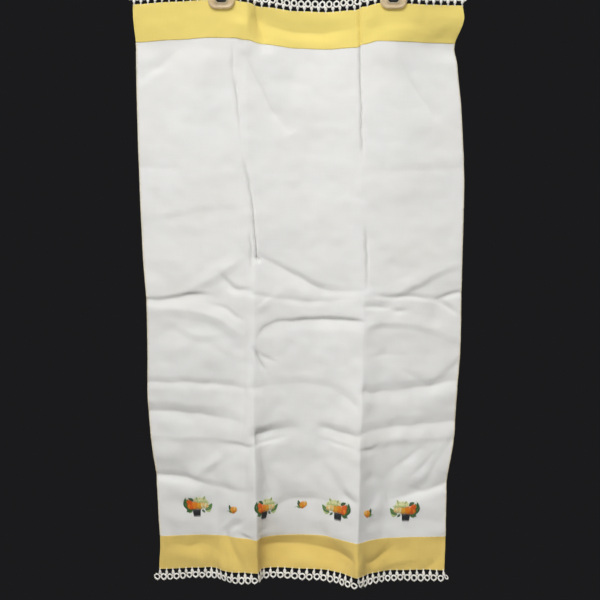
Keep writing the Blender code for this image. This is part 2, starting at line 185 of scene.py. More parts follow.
# How much lower than the clips the cloth's upper edge hangs, at places across. It has gone by SAG_END.
SAG = (
    (-185, 3.5), (-140, 1.0), (-98, -1.2), (-72, -0.8), (-58, 1.4), (-40, 6.0), (0, 10.3),
    (32, 11.4), (64, 9.6), (76, 6.0), (93, 2.5), (122, 3.0), (150, 4.0), (185, 4.5),
)
SAG_START = 47.0
SAG_END = 187.0
CORNER_DROP = 2.5  # how much further the lower left corner hangs down
CORNER_REACH = 60.0  # across the cloth
CORNER_START = 560.0

# Creases. Each row gives the widths of a crease's sides, above it or to its right and below it or to its
# left, and then its places: across, down and how far it stands forward there. A trough is negative.
Crease = namedtuple("Crease", "above below places")
CREASES = [Crease(above, below, places) for above, below, *places in (
    # Along the ironed folds
    (1.8, 2, (-73, 50, -0.2), (-73, 68, -1.1), (-72, 84, -0.5), (-70, 104, -1.5), (-67, 134, -0.7),
     (-66, 150, -0.2)),
    (7, 10, (-60, 58, -0.7), (-44, 82, -2.0), (-30, 112, -1.9), (-12, 138, -1.0)),
    (1.8, 2.4, (-64, 172, -0.2), (-62, 190, -1.2), (-58, 220, -2.2), (-56, 252, -3.2), (-54, 286, -3.8)),
    (1.6, 2, (-63, 257, -0.3), (-62.5, 274, -1.4), (-62, 294, -0.6)),
    (1.8, 1.8, (70, -2, -2.0), (70, 22, -2.3), (70, 62, -2.2), (71, 112, -2.6), (71, 152, -1.8),
     (72, 170, -0.3)),
    (2, 2, (73, 250, -0.2), (74, 270, -1.3), (74, 292, -1.2), (74, 320, -0.4)),
    (7, 6, (-58, 298, 0.4), (-58, 360, 1.2), (-58, 430, 1.3), (-58, 500, 1.4), (-57, 560, 1.5),
     (-57, 610, 0.8)),
    # Faint pulls in the upper half
    (4, 5, (-186, 184, -0.5), (-150, 183, -0.4), (-132, 183, -0.1)),
    (4, 5, (81, 187, -0.2), (130, 186, -0.5), (181, 184, -0.5)),
    (3, 7, (-180, 245, -0.3), (-150, 240, -0.5), (-122, 234, -0.3), (-96, 231, -0.4), (-70, 230, -0.2)),
    (6, 8, (-136, 50, -0.3), (-155, 66, -1.1), (-178, 80, -0.9)),
    (6, 9, (116, 62, -0.4), (134, 92, -1.5), (154, 124, -0.7)),
    # The middle fold: its pulls on the left
    (8, 5, (-142, 328, 0.3), (-120, 317, 1.0), (-103, 308, 1.5), (-88, 297, 1.5), (-76, 288, 0.4)),
    (3, 5, (-98, 306, -0.5), (-89, 315, -1.7), (-79, 323, -1.8), (-63, 324, -0.6)),
    (2, 8, (-186, 335, -1.3), (-164, 335, -1.8), (-146, 332, -2.2), (-128, 330, -2.0), (-110, 330, -0.3)),
    (9, 6, (-186, 344, 0.8), (-165, 346, 1.1), (-140, 348, 1.4), (-118, 351, 1.6), (-100, 358, 1.9),
     (-87, 366, 2.0), (-74, 375, 0.8)),
    (2.5, 3, (-112, 340, -0.2), (-95, 345, -0.7), (-80, 354, -1.0), (-70, 360, -0.3)),
    (7, 4, (-152, 364, 0.3), (-133, 375, 1.0), (-112, 379, 1.0), (-99, 374, 0.3)),
    (6, 4, (-104, 386, 0.2), (-90, 394, 0.7), (-76, 402, 0.3)),
    # in the centre
    (4, 9, (-54, 284, -0.8), (-38, 292, -1.6), (-12, 306, -2.2), (8, 317, -2.4), (22, 323, -1.7),
     (42, 325, -1.1), (68, 325, -0.7)),
    (2.6, 4, (-57, 329, -0.8), (-40, 332, -0.6), (-12, 336, -0.7), (12, 338, -0.8), (32, 337, -0.5),
     (52, 335, -0.2)),
    (3, 5, (-50, 343, 0.8), (-42, 337, 0.9), (-36, 333, 0.3)),
    (2, 8, (-53, 379, -0.3), (-47, 371, -0.7), (-36, 364, -1.1), (-22, 360.5, -1.5), (10, 359, -2.3),
     (38, 359, -2.5), (56, 360, -2.2), (68, 361, -0.9)),
    (2, 3, (-56, 393, -0.9), (-51, 403, -2.0), (-46, 414, -1.9), (-42, 421, -0.4)),
    (2, 3, (-50, 399, -0.4), (-42, 404, -1.1), (-35, 407, -0.4)),
    # and on the right
    (9, 3.6, (90, 335, 0.3), (108, 328, 1.2), (131, 318, 1.6), (152, 306, 1.5), (168, 299, 0.9),
     (182, 293, 0.3)),
    (2.5, 3, (86, 331, -0.5), (100, 332, -1.3), (120, 332, -1.1), (140, 333, -1.1), (158, 333, -0.3)),
    (4, 3, (75, 343, -1.1), (90, 343, -1.4), (105, 344, -0.4)),
    (2, 3, (103, 348, -0.3), (112, 349, -1.1), (123, 347, -0.2)),
    (2, 4, (150, 336, -0.3), (160, 334, -1.2), (171, 329, -1.6), (186, 327, -1.4)),
    (3, 3, (155, 336, -0.3), (166, 342, -1.4), (177, 350, -1.1), (184, 355, -0.4)),
    (8, 4, (73, 375, 0.4), (79, 366, 1.2), (92, 362.5, 1.4), (112, 362.5, 1.3), (130, 364, 1.2),
     (150, 369, 1.1), (166, 375, 0.8), (182, 381, 0.5)),
    (4, 3, (84, 402, -0.2), (98, 399, -0.7), (120, 400, -0.2)),
    # The upper cross fold of the lower half
    (4, 5, (-187, 433, -1.3), (-150, 434, -1.5), (-117, 435, -1.5), (-90, 437, -1.1), (-68, 439, -0.7)),
    (5, 7, (-56, 438, -1.1), (-30, 436, -0.5), (4, 434, -0.8), (34, 440, -0.7), (58, 454, -1.1),
     (66, 464, -0.4)),
    (6, 8, (75, 442, -1.9), (86, 445, -2.2), (102, 444, -1.3), (117, 443, -1.4), (140, 439, -2.2),
     (153, 438, -2.9), (170, 434, -2.2), (186, 432, -1.4)),
    (4, 6, (158, 434, -0.2), (167, 427, -0.6), (176, 419, -1.0), (187, 408, -1.2)),
    (3, 3, (118, 420, -0.2), (132, 426, -0.4), (146, 435, -0.3)),
    # The middle one
    (7, 9, (-187, 468, -2.8), (-160, 469, -3.0), (-136, 471, -3.0), (-112, 474, -2.1), (-88, 477, -1.1),
     (-70, 480, -0.4)),
    (10, 3.5, (-180, 499, 0.6), (-142, 500, 0.8), (-110, 501, 0.7), (-68, 504, 0.4)),
    (2, 6, (-98, 506, -0.2), (-82, 507, -1.0), (-64, 509, -1.0)),
    (6, 10, (-58, 495, -2.0), (-51, 494, -4.8), (-39, 493, -4.6), (-28, 491, -2.8), (-14, 488, -1.2),
     (0, 486, -0.2)),
    (5, 9, (14, 486, -0.2), (26, 488, -1.8), (40, 491, -2.9), (56, 493, -3.5), (68, 495, -2.2)),
    (1.6, 2, (-58, 507, -0.5), (-42, 504, -0.7), (-22, 500, -0.3)),
    (2, 3, (24, 502, -0.3), (44, 506, -0.7), (60, 509, -0.4)),
    (7, 8, (74, 492, -1.4), (100, 488, -1.8), (132, 485, -2.0), (160, 483, -2.2), (186, 481, -2.0)),
    (10, 3.4, (74, 513, 0.4), (92, 508, 0.8), (114, 503, 0.8), (146, 502, 0.9), (184, 499, 0.7)),
    (2, 4, (74, 512, -1.0), (84, 511, -1.6), (97, 507, -0.4)),
    # Soft pulls above the embroidery
    (6, 6, (-48, 518, -0.5), (-43, 540, -1.5), (-38, 562, -0.8)),
    (6, 4, (-136, 551, 0.3), (-122, 540, 1.2), (-109, 530, 1.4), (-92, 518, 0.4)),
    (5, 5, (48, 562, -0.4), (57, 569, -1.6), (66, 573, -0.8)),
    (4, 6, (155, 564, -0.4), (162, 546, -1.0), (170, 528, -1.2), (186, 500, -0.9)),
    (3, 4, (118, 536, -0.3), (132, 526, -1.0), (146, 514, -0.5)),
    (3, 5, (138, 548, -0.3), (152, 536, -1.1), (164, 522, -0.5)),
    # The lowest one
    (14, 6, (-190, 547, -3.4), (-168, 548, -3.0), (-146, 551, -1.6), (-132, 554, -0.4)),
    (4, 9, (-188, 547, -1.5), (-160, 549, -1.7), (-138, 554, -1.8), (-120, 559, -1.5), (-100, 562, -1.3),
     (-82, 564, -1.0), (-66, 566, -0.4)),
    (5, 9, (-36, 590, -0.5), (-27, 582, -1.3), (-14, 577, -1.4), (2, 575, -1.4), (20, 576, -1.2),
     (38, 580, -0.4)),
    (12, 7, (114, 574, -1.2), (135, 571, -2.6), (150, 567, -3.2), (166, 563, -3.8), (187, 556, -4.0)),
    (5, 6, (130, 578, 0.4), (152, 573, 0.9), (178, 567, 0.6)),
    (2, 4, (-78, 617, -0.4), (-72, 619, -1.6), (-64, 621, -0.8)),
    (5, 3, (-96, 618, -0.3), (-84, 606, -1.3), (-74, 600, -0.5)),
    (4, 3, (-112, 616, 0.2), (-101, 610, 0.7), (-90, 600, 0.6), (-82, 590, 0.2)),
    # The upper border
    (7, 8, (-49, 0, -1.8), (-45, 14, -4.2), (-40, 30, -3.8), (-37, 44, -1.2)),
    (6, 9, (-66, 6, 0.3), (-64, 20, 1.2), (-66, 36, 0.9)),
    (5, 9, (98, 34, 0.2), (116, 28, 0.9), (142, 30, 0.7), (156, 34, 0.2)),
    (8, 7, (-38, 17, -0.6), (-24, 20, -1.9), (2, 23, -2.3), (30, 23, -2.2), (50, 21, -1.3), (64, 19, -0.4)),
    # The lower border
    (22, 10, (-105, 624, 0.0), (-104, 636, 2.4), (-103, 650, 4.6), (-102, 660, 4.9), (-101, 672, 3.8)),
    (4, 5, (-100, 616, -0.4), (-90, 632, -1.6), (-80, 650, -2.0), (-72, 664, -1.6)),
    (8, 14, (-47, 631, -1.8), (-30, 633, -3.4), (0, 634.5, -3.7), (30, 638, -3.5), (55, 643, -2.8),
     (66, 647, -1.0)),
    (6, 5, (76, 636, -0.6), (92, 650, -1.8), (108, 642, -1.9), (122, 630, -0.6)),
    (5, 5, (156, 666, -1.2), (168, 658, -1.5), (178, 648, -0.5)),
    (8, 6, (-170, 642, 0.4), (-150, 649, 0.9), (-128, 652, 0.5)),
    (8, 7, (-170, 632, -0.6), (-150, 635, -1.9), (-130, 633, -1.7), (-114, 638, -0.5)),
    (4, 8, (-140, 642, 0.2), (-134, 654, 1.3), (-131, 667, 1.6)),
    (6, 4, (-50, 642, -0.5), (-46, 653, -1.5), (-44, 666, -1.1)),
    (9, 4, (98, 664, 0.4), (118, 655, 1.4), (142, 650, 1.2), (154, 646, 0.3)),
)]
CREASE_FADE = 5.0  # past each end
CREASE_ROUND = 0.7  # radius of a crease's own bend
SPREAD = 1.5  # how much wider than its widths a crease's flat sides are
FOOT_ROUND = 0.25  # how softly those sides end
PATH_STEP = 3.0  # between the points of its smooth path
WANDER = 0.4  # how far creases stray from their places

# Soft waves: how many, the length of the shortest, and how much longer each next one is
WANDER_WAVES = (8, 16.0, 1.18)
CLOTH_WAVES = (40, 14.0, 1.06)
WAVE_HEIGHT = 0.35

# Crumples: small flat facets that meet in soft edges
FACET = 24.0
FACET_SQUAT = 0.8  # height against width
FACET_STRAY = 0.45  # from an even row, in facets
FACET_REACH = int(3.2 * FACET)
FACET_EDGE = 9.0
SIDEWAYS_TILT = 0.6  # against the tilt down the cloth
# How steep the facets are, at distances down
CRUMPLES = (
    (-20, 0.03), (60, 0.012), (260, 0.014), (330, 0.035), (430, 0.04), (500, 0.075), (600, 0.08),
    (680, 0.06),
)
TROUGH_SIDES = 3  # how far off a trough's sides are
DEEP_TROUGH = 1.3  # how deep a trough is where its painted shade and soil are strongest
STEEPEST = 0.97  # the most that a thread rises for its length
SIDE_MARGIN, END_MARGIN = 12.0, 24.0  # how far past the cloth its places are worked out


# ---- The surface that the cloth hangs in ----
def ease(share):
    """A smooth step from 0 to 1."""
    share = np.clip(share, 0.0, 1.0)
    return share * share * (3 - 2 * share)


def levels_at(down):
    """Every column of LEVELS at each distance down the cloth, on a smooth curve through its rows."""
    table = np.array(LEVELS, float)
    row = np.clip(np.searchsorted(table[:, 0], down, side="right") - 1, 0, len(table) - 2)
    start, end = table[row], table[row + 1]
    before, after = table[np.maximum(row - 1, 0)], table[np.minimum(row + 2, len(table) - 1)]
    share = ((down - start[:, 0]) / (end[:, 0] - start[:, 0]))[:, None]
    pull, push, rest = (end - before) / 2, (after - start) / 2, end - start
    turn = pull + push - 2 * rest
    return start + share * (pull + share * (3 * rest - 2 * pull - push + share * turn))


def section_heights(across, levels):
    """How far the sections bring the cloth forward, for each level and each place across."""
    shares, heights = np.array(SECTION_SHARES), levels[:, 5:]
    last = len(shares) - 1
    before = np.maximum(np.arange(last + 1) - 1, 0)
    after = np.minimum(np.arange(last + 1) + 1, last)
    bend = (heights[:, after] - heights[:, before]) / (shares[after] - shares[before])
    share = np.clip(across / WIDTH + 0.5, 0.0, 1.0)
    section = np.clip(np.searchsorted(shares, share, side="right") - 1, 0, last - 1)
    span = (shares[1:] - shares[:-1])[section]
    rise = heights[:, section + 1] - heights[:, section]
    sharp = np.isin(shares, SHARP)
    leaving = np.where(sharp[section], rise, span * bend[:, section])
    arriving = np.where(sharp[section + 1], rise, span * bend[:, section + 1])
    part = (share - shares[section]) / span
    curve = (leaving - rise) * (1 - part) + (rise - arriving) * part
    return heights[:, section] + part * rise + part * (1 - part) * curve


def smooth_path(places):
    """Points on a smooth curve through some places."""
    places = np.array(places, float)
    before = np.vstack([2 * places[0] - places[1], places, 2 * places[-1] - places[-2]])
    path = []
    for i in range(len(places) - 1):
        p0, p1, p2, p3 = before[i : i + 4]
        count = max(2, int(np.hypot(*(p2 - p1)[:2]) / PATH_STEP))
        share = (np.arange(count) / count)[:, None]
        bend = 3 * (p1 - p2) + p3 - p0
        path.append(
            p1 + share / 2 * (p2 - p0 + share * (2 * p0 - 5 * p1 + 4 * p2 - p3 + share * bend))
        )
    return np.vstack([*path, places[-1:]])


def add_crease(forward, crease, across, down):
    """Raises the cloth, as a table of places across and down, along one crease."""
    path = smooth_path(crease.places)
    reach = 5 * max(crease.above, crease.below)
    near = (across > path[:, 0].min() - reach) & (across < path[:, 0].max() + reach)
    near &= (down > path[:, 1].min() - reach) & (down < path[:, 1].max() + reach)
    x, y = across[near], down[near]
    nearest = np.full(len(x), np.inf)
    off, height, past_end = np.zeros(len(x)), np.zeros(len(x)), np.zeros(len(x))
    last = len(path) - 2
    for i, (start, end) in enumerate(zip(path, path[1:])):
        run, fall, rise = end - start
        length = np.hypot(run, fall)
        share = ((x - start[0]) * run + (y - start[1]) * fall) / length**2
        on_line = np.clip(share, 0.0, 1.0)
        away = np.hypot(x - start[0] - on_line * run, y - start[1] - on_line * fall)
        closer = away < nearest
        nearest = np.where(closer, away, nearest)
        side = ((y - start[1]) * run - (x - start[0]) * fall) / length
        beyond = np.where((i == 0) & (share < 0) | (i == last) & (share > 1), share - on_line, 0.0)
        off = np.where(closer, side, off)
        height = np.where(closer, start[2] + on_line * rise, height)
        past_end = np.where(closer, beyond * length, past_end)
    width = SPREAD * np.where(off > 0, crease.below, crease.above)
    left = 1 - (np.sqrt(off * off + CREASE_ROUND**2) - CREASE_ROUND) / width
    left = (left + np.sqrt(left * left + FOOT_ROUND**2)) / 2
    forward[near] += height * left * np.exp(-((past_end / CREASE_FADE) ** 2))


def waves(across, down, count, shortest, growth):
    """A sum of evenly spread random waves, about 1 high."""
    total = np.zeros(across.shape)
    weight = 0.0
    for i in range(count):
        length = shortest * growth**i
        turn, phase = CHANCE.uniform(0, pi), CHANCE.uniform(0, 2 * pi)
        along = across * cos(turn) + down * sin(turn)
        total += length**0.8 * np.sin(along * 2 * pi / length + phase)
        weight += length**1.6 / 2
    return total / np.sqrt(weight)


def crumple_heights(across, down):
    """Flat facets with their own small tilts, which blend softly into each other."""
    total, weight = np.zeros(across.shape), np.zeros(across.shape)
    tilts = np.array(CRUMPLES, float)
    left, top = across[0, 0], down[0, 0]
    for row in range(int((down[-1, 0] - top) / FACET / FACET_SQUAT) + 3):
        for column in range(int((across[0, -1] - left) / FACET) + 2):
            x = left + (column + stray(FACET_STRAY)) * FACET
            y = top + (row + stray(FACET_STRAY)) * FACET * FACET_SQUAT
            tilt = np.interp(y, tilts[:, 0], tilts[:, 1])
            tilt_x, tilt_y = CHANCE.gauss(0, tilt * SIDEWAYS_TILT), CHANCE.gauss(0, tilt)
            near = (int(y - top), int(x - left))
            box = tuple(slice(max(0, i - FACET_REACH), i + FACET_REACH) for i in near)
            near_x, near_y = across[box] - x, down[box] - y
            share = np.exp(-(near_x**2 + near_y**2) / (2 * FACET_EDGE**2))
            weight[box] += share
            total[box] += share * (tilt_x * near_x + tilt_y * near_y)
    return total / np.maximum(weight, 1e-9)


def clip_holds(across, down):
    """0 where a clip holds the cloth flat, and 1 where it hangs freely."""
    held = np.ones(np.broadcast(across, down).shape)
    for clip in CLIP_PLACES.values():
        beside = np.maximum(0.0, np.abs(across - clip) - CLIP_HOLD)
        below = np.maximum(0.0, down - CLIP_GRIP - CLIP_BELOW) * 1.2
        held = np.minimum(held, ease(np.hypot(beside, below) / CLIP_FREE))
    return held


def sags(across, down):
    """How much lower each place hangs, as the cloth sags from its clips and at its lower left corner."""
    table = np.array(SAG, float)
    row = np.clip(np.searchsorted(table[:, 0], across, side="right") - 1, 0, len(table) - 2)
    start, end = table[row], table[row + 1]
    share = ease((across - start[..., 0]) / (end[..., 0] - start[..., 0]))
    drop = start[..., 1] + share * (end[..., 1] - start[..., 1])
    corner = ease((CORNER_REACH - HALF - across) / CORNER_REACH)
    corner = corner * ease((down - CORNER_START) / (LENGTH - CORNER_START))
    return drop * (1 - ease((down - SAG_START) / (SAG_END - SAG_START))) + CORNER_DROP * corner


def narrow_troughs(forward):
    """Where the cloth is sunk against the places to both sides of it, from 0 to 1: the mask of the painted
    shade and soil in its troughs.
    """
    sides = [sum(np.roll(forward, way * TROUGH_SIDES, axis) for way in (1, -1)) for axis in (0, 1)]
    return np.clip((np.maximum(*sides) / 2 - forward) / DEEP_TROUGH, 0, 1)


class HungCloth:
    """Where every place of the cloth hangs in the room, kept on a grid of one-millimetre steps."""

    def __init__(self):
        self.left, self.top = -HALF - SIDE_MARGIN, -END_MARGIN
        self.across = np.arange(self.left, HALF + SIDE_MARGIN + 0.5, 1.0)
        self.down = np.arange(self.top, LENGTH + END_MARGIN + 0.5, 1.0)
        across, down = np.meshgrid(self.across, self.down)
        levels = levels_at(self.down)
        forward = section_heights(self.across, levels)
        wander_x = across + WANDER * waves(across, down, *WANDER_WAVES)
        wander_y = down + WANDER * waves(across, down, *WANDER_WAVES)
        for crease in CREASES:
            add_crease(forward, crease, wander_x, wander_y)
        forward += WAVE_HEIGHT * waves(across, down, *CLOTH_WAVES)
        forward += crumple_heights(across, down)
        forward *= clip_holds(across, down)
        height = CLOTH_TOP - down - sags(across, down)
        self.points = np.stack([self.sideways(levels, forward), -forward, height], axis=-1)
        # The troughs' mask, which darkens the linen's colour: painted shade in the creases, with soil that
        # gathers there
        self.trough_shade_and_soil = narrow_troughs(forward)
        rightwards = np.gradient(self.points, axis=1)
        downwards = np.gradient(self.points, axis=0)
        facing = np.cross(downwards, rightwards)
        self.facings = facing / np.linalg.norm(facing, axis=-1, keepdims=True)

    def sideways(self, levels, forward):
        """Room places along X. Each thread keeps its length between the cloth's edges and folds."""
        rise = np.minimum(np.abs(np.diff(forward, axis=1)), STEEPEST)
        walk = np.cumsum(np.sqrt(1 - rise * rise), axis=1)
        walk = np.concatenate([np.zeros((len(walk), 1)), walk], axis=1)
        anchors = (-HALF, LEFT_FOLD_ACROSS, RIGHT_FOLD_ACROSS, HALF)
        woven = [self.column(walk, anchor) for anchor in anchors]
        hung = [levels[:, i] for i in (1, 2, 3, 4)]
        result = np.empty_like(forward)
        for third in range(3):
            low = -np.inf if third == 0 else anchors[third]
            high = np.inf if third == 2 else anchors[third + 1]
            inside = (self.across >= low) & (self.across < high)
            long, wide = woven[third + 1] - woven[third], hung[third + 1] - hung[third]
            share = (walk[:, inside] - woven[third][:, None]) / long[:, None]
            result[:, inside] = hung[third][:, None] + share * wide[:, None]
        return result

    def column(self, table, across):
        """A grid table's values at one place across."""
        place = across - self.left
        low = int(place)
        return table[:, low] + (place - low) * (table[:, low + 1] - table[:, low])

    def look_up(self, table, across, down):
        """A grid table's values between its rows and columns."""
        column = np.clip(np.asarray(across, float) - self.left, 0, len(self.across) - 1.001)
        row = np.clip(np.asarray(down, float) - self.top, 0, len(self.down) - 1.001)
        i, j = row.astype(int), column.astype(int)
        y, x = (row - i)[..., None], (column - j)[..., None]
        upper = table[i, j] * (1 - x) + table[i, j + 1] * x
        lower = table[i + 1, j] * (1 - x) + table[i + 1, j + 1] * x
        return upper * (1 - y) + lower * y

    def at(self, across, down, raised=0.0):
        """Room places, in millimetres, of cloth places that are raised off the cloth's back."""
        facing = self.look_up(self.facings, across, down)
        raised = np.asarray(raised, float)[..., None]
        return self.look_up(self.points, across, down) + facing * raised


HUNG = HungCloth()


# ---- Making and placing pieces ----
def add(name, data):
    """An object in the scene."""
    made = bpy.data.objects.new(name, data)
    bpy.context.scene.collection.objects.link(made)
    return made


def placed(name, mesh, finish, replaced):
    """An object of a mesh, riding on the runner's only body."""
    mesh.materials.append(finish)
    made = add(name, mesh)
    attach(made, "root")
    if replaced:
        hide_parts(*replaced)
    return made


def piece(name, points, faces, finish, replaced):
    """An object made from places in millimetres."""
    mesh = bpy.data.meshes.new(name)
    mesh.from_pydata((np.asarray(points, float) * METRE).tolist(), [], faces)
    mesh.update()
    mesh.shade_smooth()
    return placed(name, mesh, finish, replaced)


def note(made, name, kind, values):
    """Keeps one value or vector for each point of a piece, for its finish to read."""
    field = "vector" if kind == "FLOAT_VECTOR" else "value"
    made.data.attributes.new(name, kind, "POINT").data.foreach_set(field, np.ravel(values))


def grid_faces(rows, columns, closed=False):
    """Quads between the rows and columns of a grid, and round the columns if it is closed."""
    row = np.arange(rows - 1)[:, None]
    column = np.arange(columns if closed else columns - 1)[None, :]
    after = (column + 1) % columns
    corners = [row * columns + column, row * columns + after]
    corners += [(row + 1) * columns + after, (row + 1) * columns + column]
    return np.stack([np.broadcast_to(c, corners[0].shape) for c in corners], axis=-1).reshape(-1, 4)


# ---- Cloth ----
def turned_edge(edge, depth, inwards, thick):
    """Places and raises of an edge turned over to the back, from its raw edge to the fold."""
    turn = np.linspace(0, pi, 7)
    places = [edge + inwards * share * depth for share in (1.0, 0.9, 0.5)]
    raises = [-0.35 * thick, -0.9 * thick, -thick]
    places += list(edge + inwards * thick / 2 * (1 - np.sin(turn)))
    raises += list(-thick / 2 * (1 + np.cos(turn)))
    return np.array(places), np.array(raises)


def profile(start, stretches, turn, thick):
    """Places and raises along a strip whose edges are turned to the back. A stretch is (end, step)."""
    places, end = [], start
    for stretch_end, step in stretches:
        count = round((stretch_end - end) / step)
        places += list(np.linspace(end, stretch_end, count, endpoint=False))
        end = stretch_end
    inner = places[1:]
    first, first_raises = turned_edge(start, turn, 1, thick)
    last, last_raises = turned_edge(end, turn, -1, thick)
    places = np.concatenate([first, inner, last[::-1]])
    raises = np.concatenate([first_raises, np.zeros(len(inner)), last_raises[::-1]])
    return places, raises


def linen(name, across, down, face, finish, replaced):
    """A length of linen from its profile across and its profile down, with its edges turned."""
    (places_across, raises_across), (places_down, raises_down) = across, down
    grid_across, grid_down = np.meshgrid(places_across, places_down)
    raised = face + np.minimum(raises_across[None, :], raises_down[:, None])
    points = HUNG.at(grid_across, grid_down, raised).reshape(-1, 3)
    faces = grid_faces(len(places_down), len(places_across))
    made = piece(name, points, faces.tolist(), finish, [replaced])
    # The trough mask, for the finish's painted shade and soil
    note(made, "trough_shade_and_soil", "FLOAT", HUNG.look_up(HUNG.trough_shade_and_soil[..., None], grid_across, grid_down))
    place = np.stack([grid_across, grid_down], axis=-1).reshape(-1, 2) * METRE
    corners = np.zeros(len(made.data.loops), int)
    made.data.loops.foreach_get("vertex_index", corners)
    made.data.uv_layers.new(name="cloth").data.foreach_set("uv", place[corners].ravel())
    return made


# ---- Threads ----
def between(start, end, share):
    """Places across and down between two others."""
    return start[0] + (end[0] - start[0]) * share, start[1] + (end[1] - start[1]) * share


class ThreadWork:
    """Collects threads that lie on the cloth, to be made as one piece."""

    def __init__(self, sides):
        self.sides = sides
        self.points, self.faces, self.tints, self.twists = [], [], [], []
        self.count = 0

    def thread(self, across, down, raised, width, thick, closed=False):
        """One thread along cloth places. Its width lies on the cloth and its thickness off it."""
        across, down = np.asarray(across, float), np.asarray(down, float)
        width = np.broadcast_to(width, across.shape)
        thick = np.broadcast_to(thick, across.shape)
        centre = HUNG.at(across, down, np.broadcast_to(raised, across.shape))
        facing = HUNG.look_up(HUNG.facings, across, down)
        if closed:
            along = np.roll(centre, -1, axis=0) - np.roll(centre, 1, axis=0)
        else:
            along = np.gradient(centre, axis=0)
        aside = np.cross(along, facing)
        aside /= np.maximum(np.linalg.norm(aside, axis=-1, keepdims=True), 1e-9)
        turn = np.arange(self.sides) * 2 * pi / self.sides
        out = (width[:, None] / 2 * np.cos(turn))[..., None] * aside[:, None]
        up = (thick[:, None] / 2 * np.sin(turn))[..., None] * facing[:, None]
        rows, size = len(centre), len(centre) * self.sides
        faces = grid_faces(rows + closed, self.sides, closed=True) % size + self.count
        self.points.append((centre[:, None] + out + up).reshape(-1, 3))
        self.faces += faces.tolist()
        if not closed:
            ends = np.arange(self.sides) + self.count
            self.faces.append(ends[::-1].tolist())
            self.faces.append((ends + size - self.sides).tolist())
        steps = np.linalg.norm(np.diff(centre, axis=0), axis=-1)
        length = np.concatenate([[0.0], np.cumsum(steps)])
        twist = np.stack(np.broadcast_arrays(length[:, None], np.cos(turn), np.sin(turn)), axis=-1)
        self.twists.append(twist.reshape(-1, 3))
        self.tints.append(np.full(size, CHANCE.random()))
        self.count += size

    def stitch(self, start, end, width=0.55, rise=0.35, base=FIELD_FACE):
        """One straight float of thread that goes into the cloth at both ends."""
        share = np.linspace(0, 1, STITCH_POINTS)
        arch = np.sin(share * pi) ** 0.5
        body = width * (0.5 + 0.5 * arch)
        raised = base - SUNK + (rise + SUNK) * arch
        self.thread(*between(start, end, share), raised, body, body * STITCH_FLATNESS)

    def make(self, name, finish, slot, replaced=()):
        """The collected threads as one piece."""
        made = piece(name, np.concatenate(self.points), self.faces, finish, replaced)
        note(made, "tint", "FLOAT", np.concatenate(self.tints))
        note(made, "twist", "FLOAT_VECTOR", np.concatenate(self.twists))
        return made


# ---- Finishes ----
def feed(tree, socket, value):
    """Gives an input a value, or a link from another node."""
    if isinstance(value, bpy.types.NodeSocket):
        tree.links.new(value, socket)
    else:
        socket.default_value = value


def node(tree, kind, values=(), **settings):
    """Adds a node with its settings, and feeds its inputs."""
    made = tree.nodes.new(f"ShaderNode{kind}")
    for name, value in settings.items():
        setattr(made, name, value)
    for key, value in dict(values).items():
        feed(tree, made.inputs[key], value)
    return made


def maths(tree, operation, *values):
    """The output of a Math node on one, two or three values."""
    return node(tree, "Math", enumerate(values), operation=operation).outputs[0]


def noise(tree, values):
    """The mask of a Noise Texture node."""
    return node(tree, "TexNoise", values).outputs["Fac"]


def stretch(tree, value, low, high, kind):
    """A mask that goes from 0 to 1 as a value goes from low to high."""
    values = {"Value": value, "From Min": low, "From Max": high}
    return node(tree, "MapRange", values, interpolation_type=kind).outputs[0]


def node_group(name, inputs, output, make):
    """A shader node group with named inputs, whose only output make returns."""
    group = bpy.data.node_groups.new(name, "ShaderNodeTree")
    for socket, kind in inputs.items():
        group.interface.new_socket(socket, in_out="INPUT", socket_type=f"NodeSocket{kind}")
    group.interface.new_socket(output, in_out="OUTPUT", socket_type="NodeSocketFloat")
    given = group.nodes.new("NodeGroupInput").outputs
    group.links.new(make(group, given), group.nodes.new("NodeGroupOutput").inputs[output])
    return group


def weave_height(group, given):
    """Threads that pass over and under each other. Place is measured on the cloth, in metres."""
    place = node(group, "SeparateXYZ", {0: given["Place"]})
    across = maths(group, "DIVIDE", place.outputs[0], given["Spacing"])
    down = maths(group, "DIVIDE", place.outputs[1], given["Spacing"])
    sets = []
    for along, aside, start in ((down, across, 0.0), (across, down, 1.0)):
        body = maths(group, "ABSOLUTE", maths(group, "SINE", maths(group, "MULTIPLY", aside, pi)))
        row = maths(group, "ADD", maths(group, "FLOOR", aside), start)
        wave = maths(group, "SINE", maths(group, "MULTIPLY", maths(group, "ADD", along, row), pi))
        sets.append(maths(group, "MULTIPLY", body, maths(group, "MULTIPLY_ADD", wave, 0.5, 0.5)))
    return maths(group, "MAXIMUM", *sets)


def slub_mask(group, given):
    """Thick places in the threads, long and narrow, both ways of the cloth."""
    masks = []
    for sides in (("Length", "Width"), ("Width", "Length")):
        size = node(group, "CombineXYZ", {0: given[sides[0]], 1: given[sides[1]], 2: 1.0}).outputs[0]
        place = node(group, "VectorMath", {0: given["Place"], 1: size}, operation="DIVIDE").outputs[0]
        masks.append(noise(group, {"Vector": place, "Scale": 1.0, "Detail": 2.0}))
    both = maths(group, "MULTIPLY_ADD", maths(group, "ADD", *masks), 0.5, 0.0)
    return stretch(group, both, 0.35, 0.65, "LINEAR")


def mark_mask(group, given):
    """Cloudy marks that age and washing leave in the cloth."""
    scale = maths(group, "DIVIDE", 1.0, given["Size"])
    values = {"Vector": given["Place"], "Scale": scale, "Detail": 4.0, "Roughness": 0.55}
    return stretch(group, noise(group, values), 0.42, 0.72, "SMOOTHSTEP")


def twist_height(group, given):
    """The plies of a twisted thread. Twist holds the length along it and its place around."""
    twist = node(group, "SeparateXYZ", {0: given["Twist"]}).outputs
    turn = maths(group, "MULTIPLY", maths(group, "DIVIDE", twist[0], given["Lay"]), 2 * pi)
    sides = (("SINE", twist[1]), ("COSINE", twist[2]))
    waves = [maths(group, "MULTIPLY", maths(group, way, turn), part) for way, part in sides]
    return maths(group, "MULTIPLY_ADD", maths(group, "ADD", *waves), 0.5, 0.5)


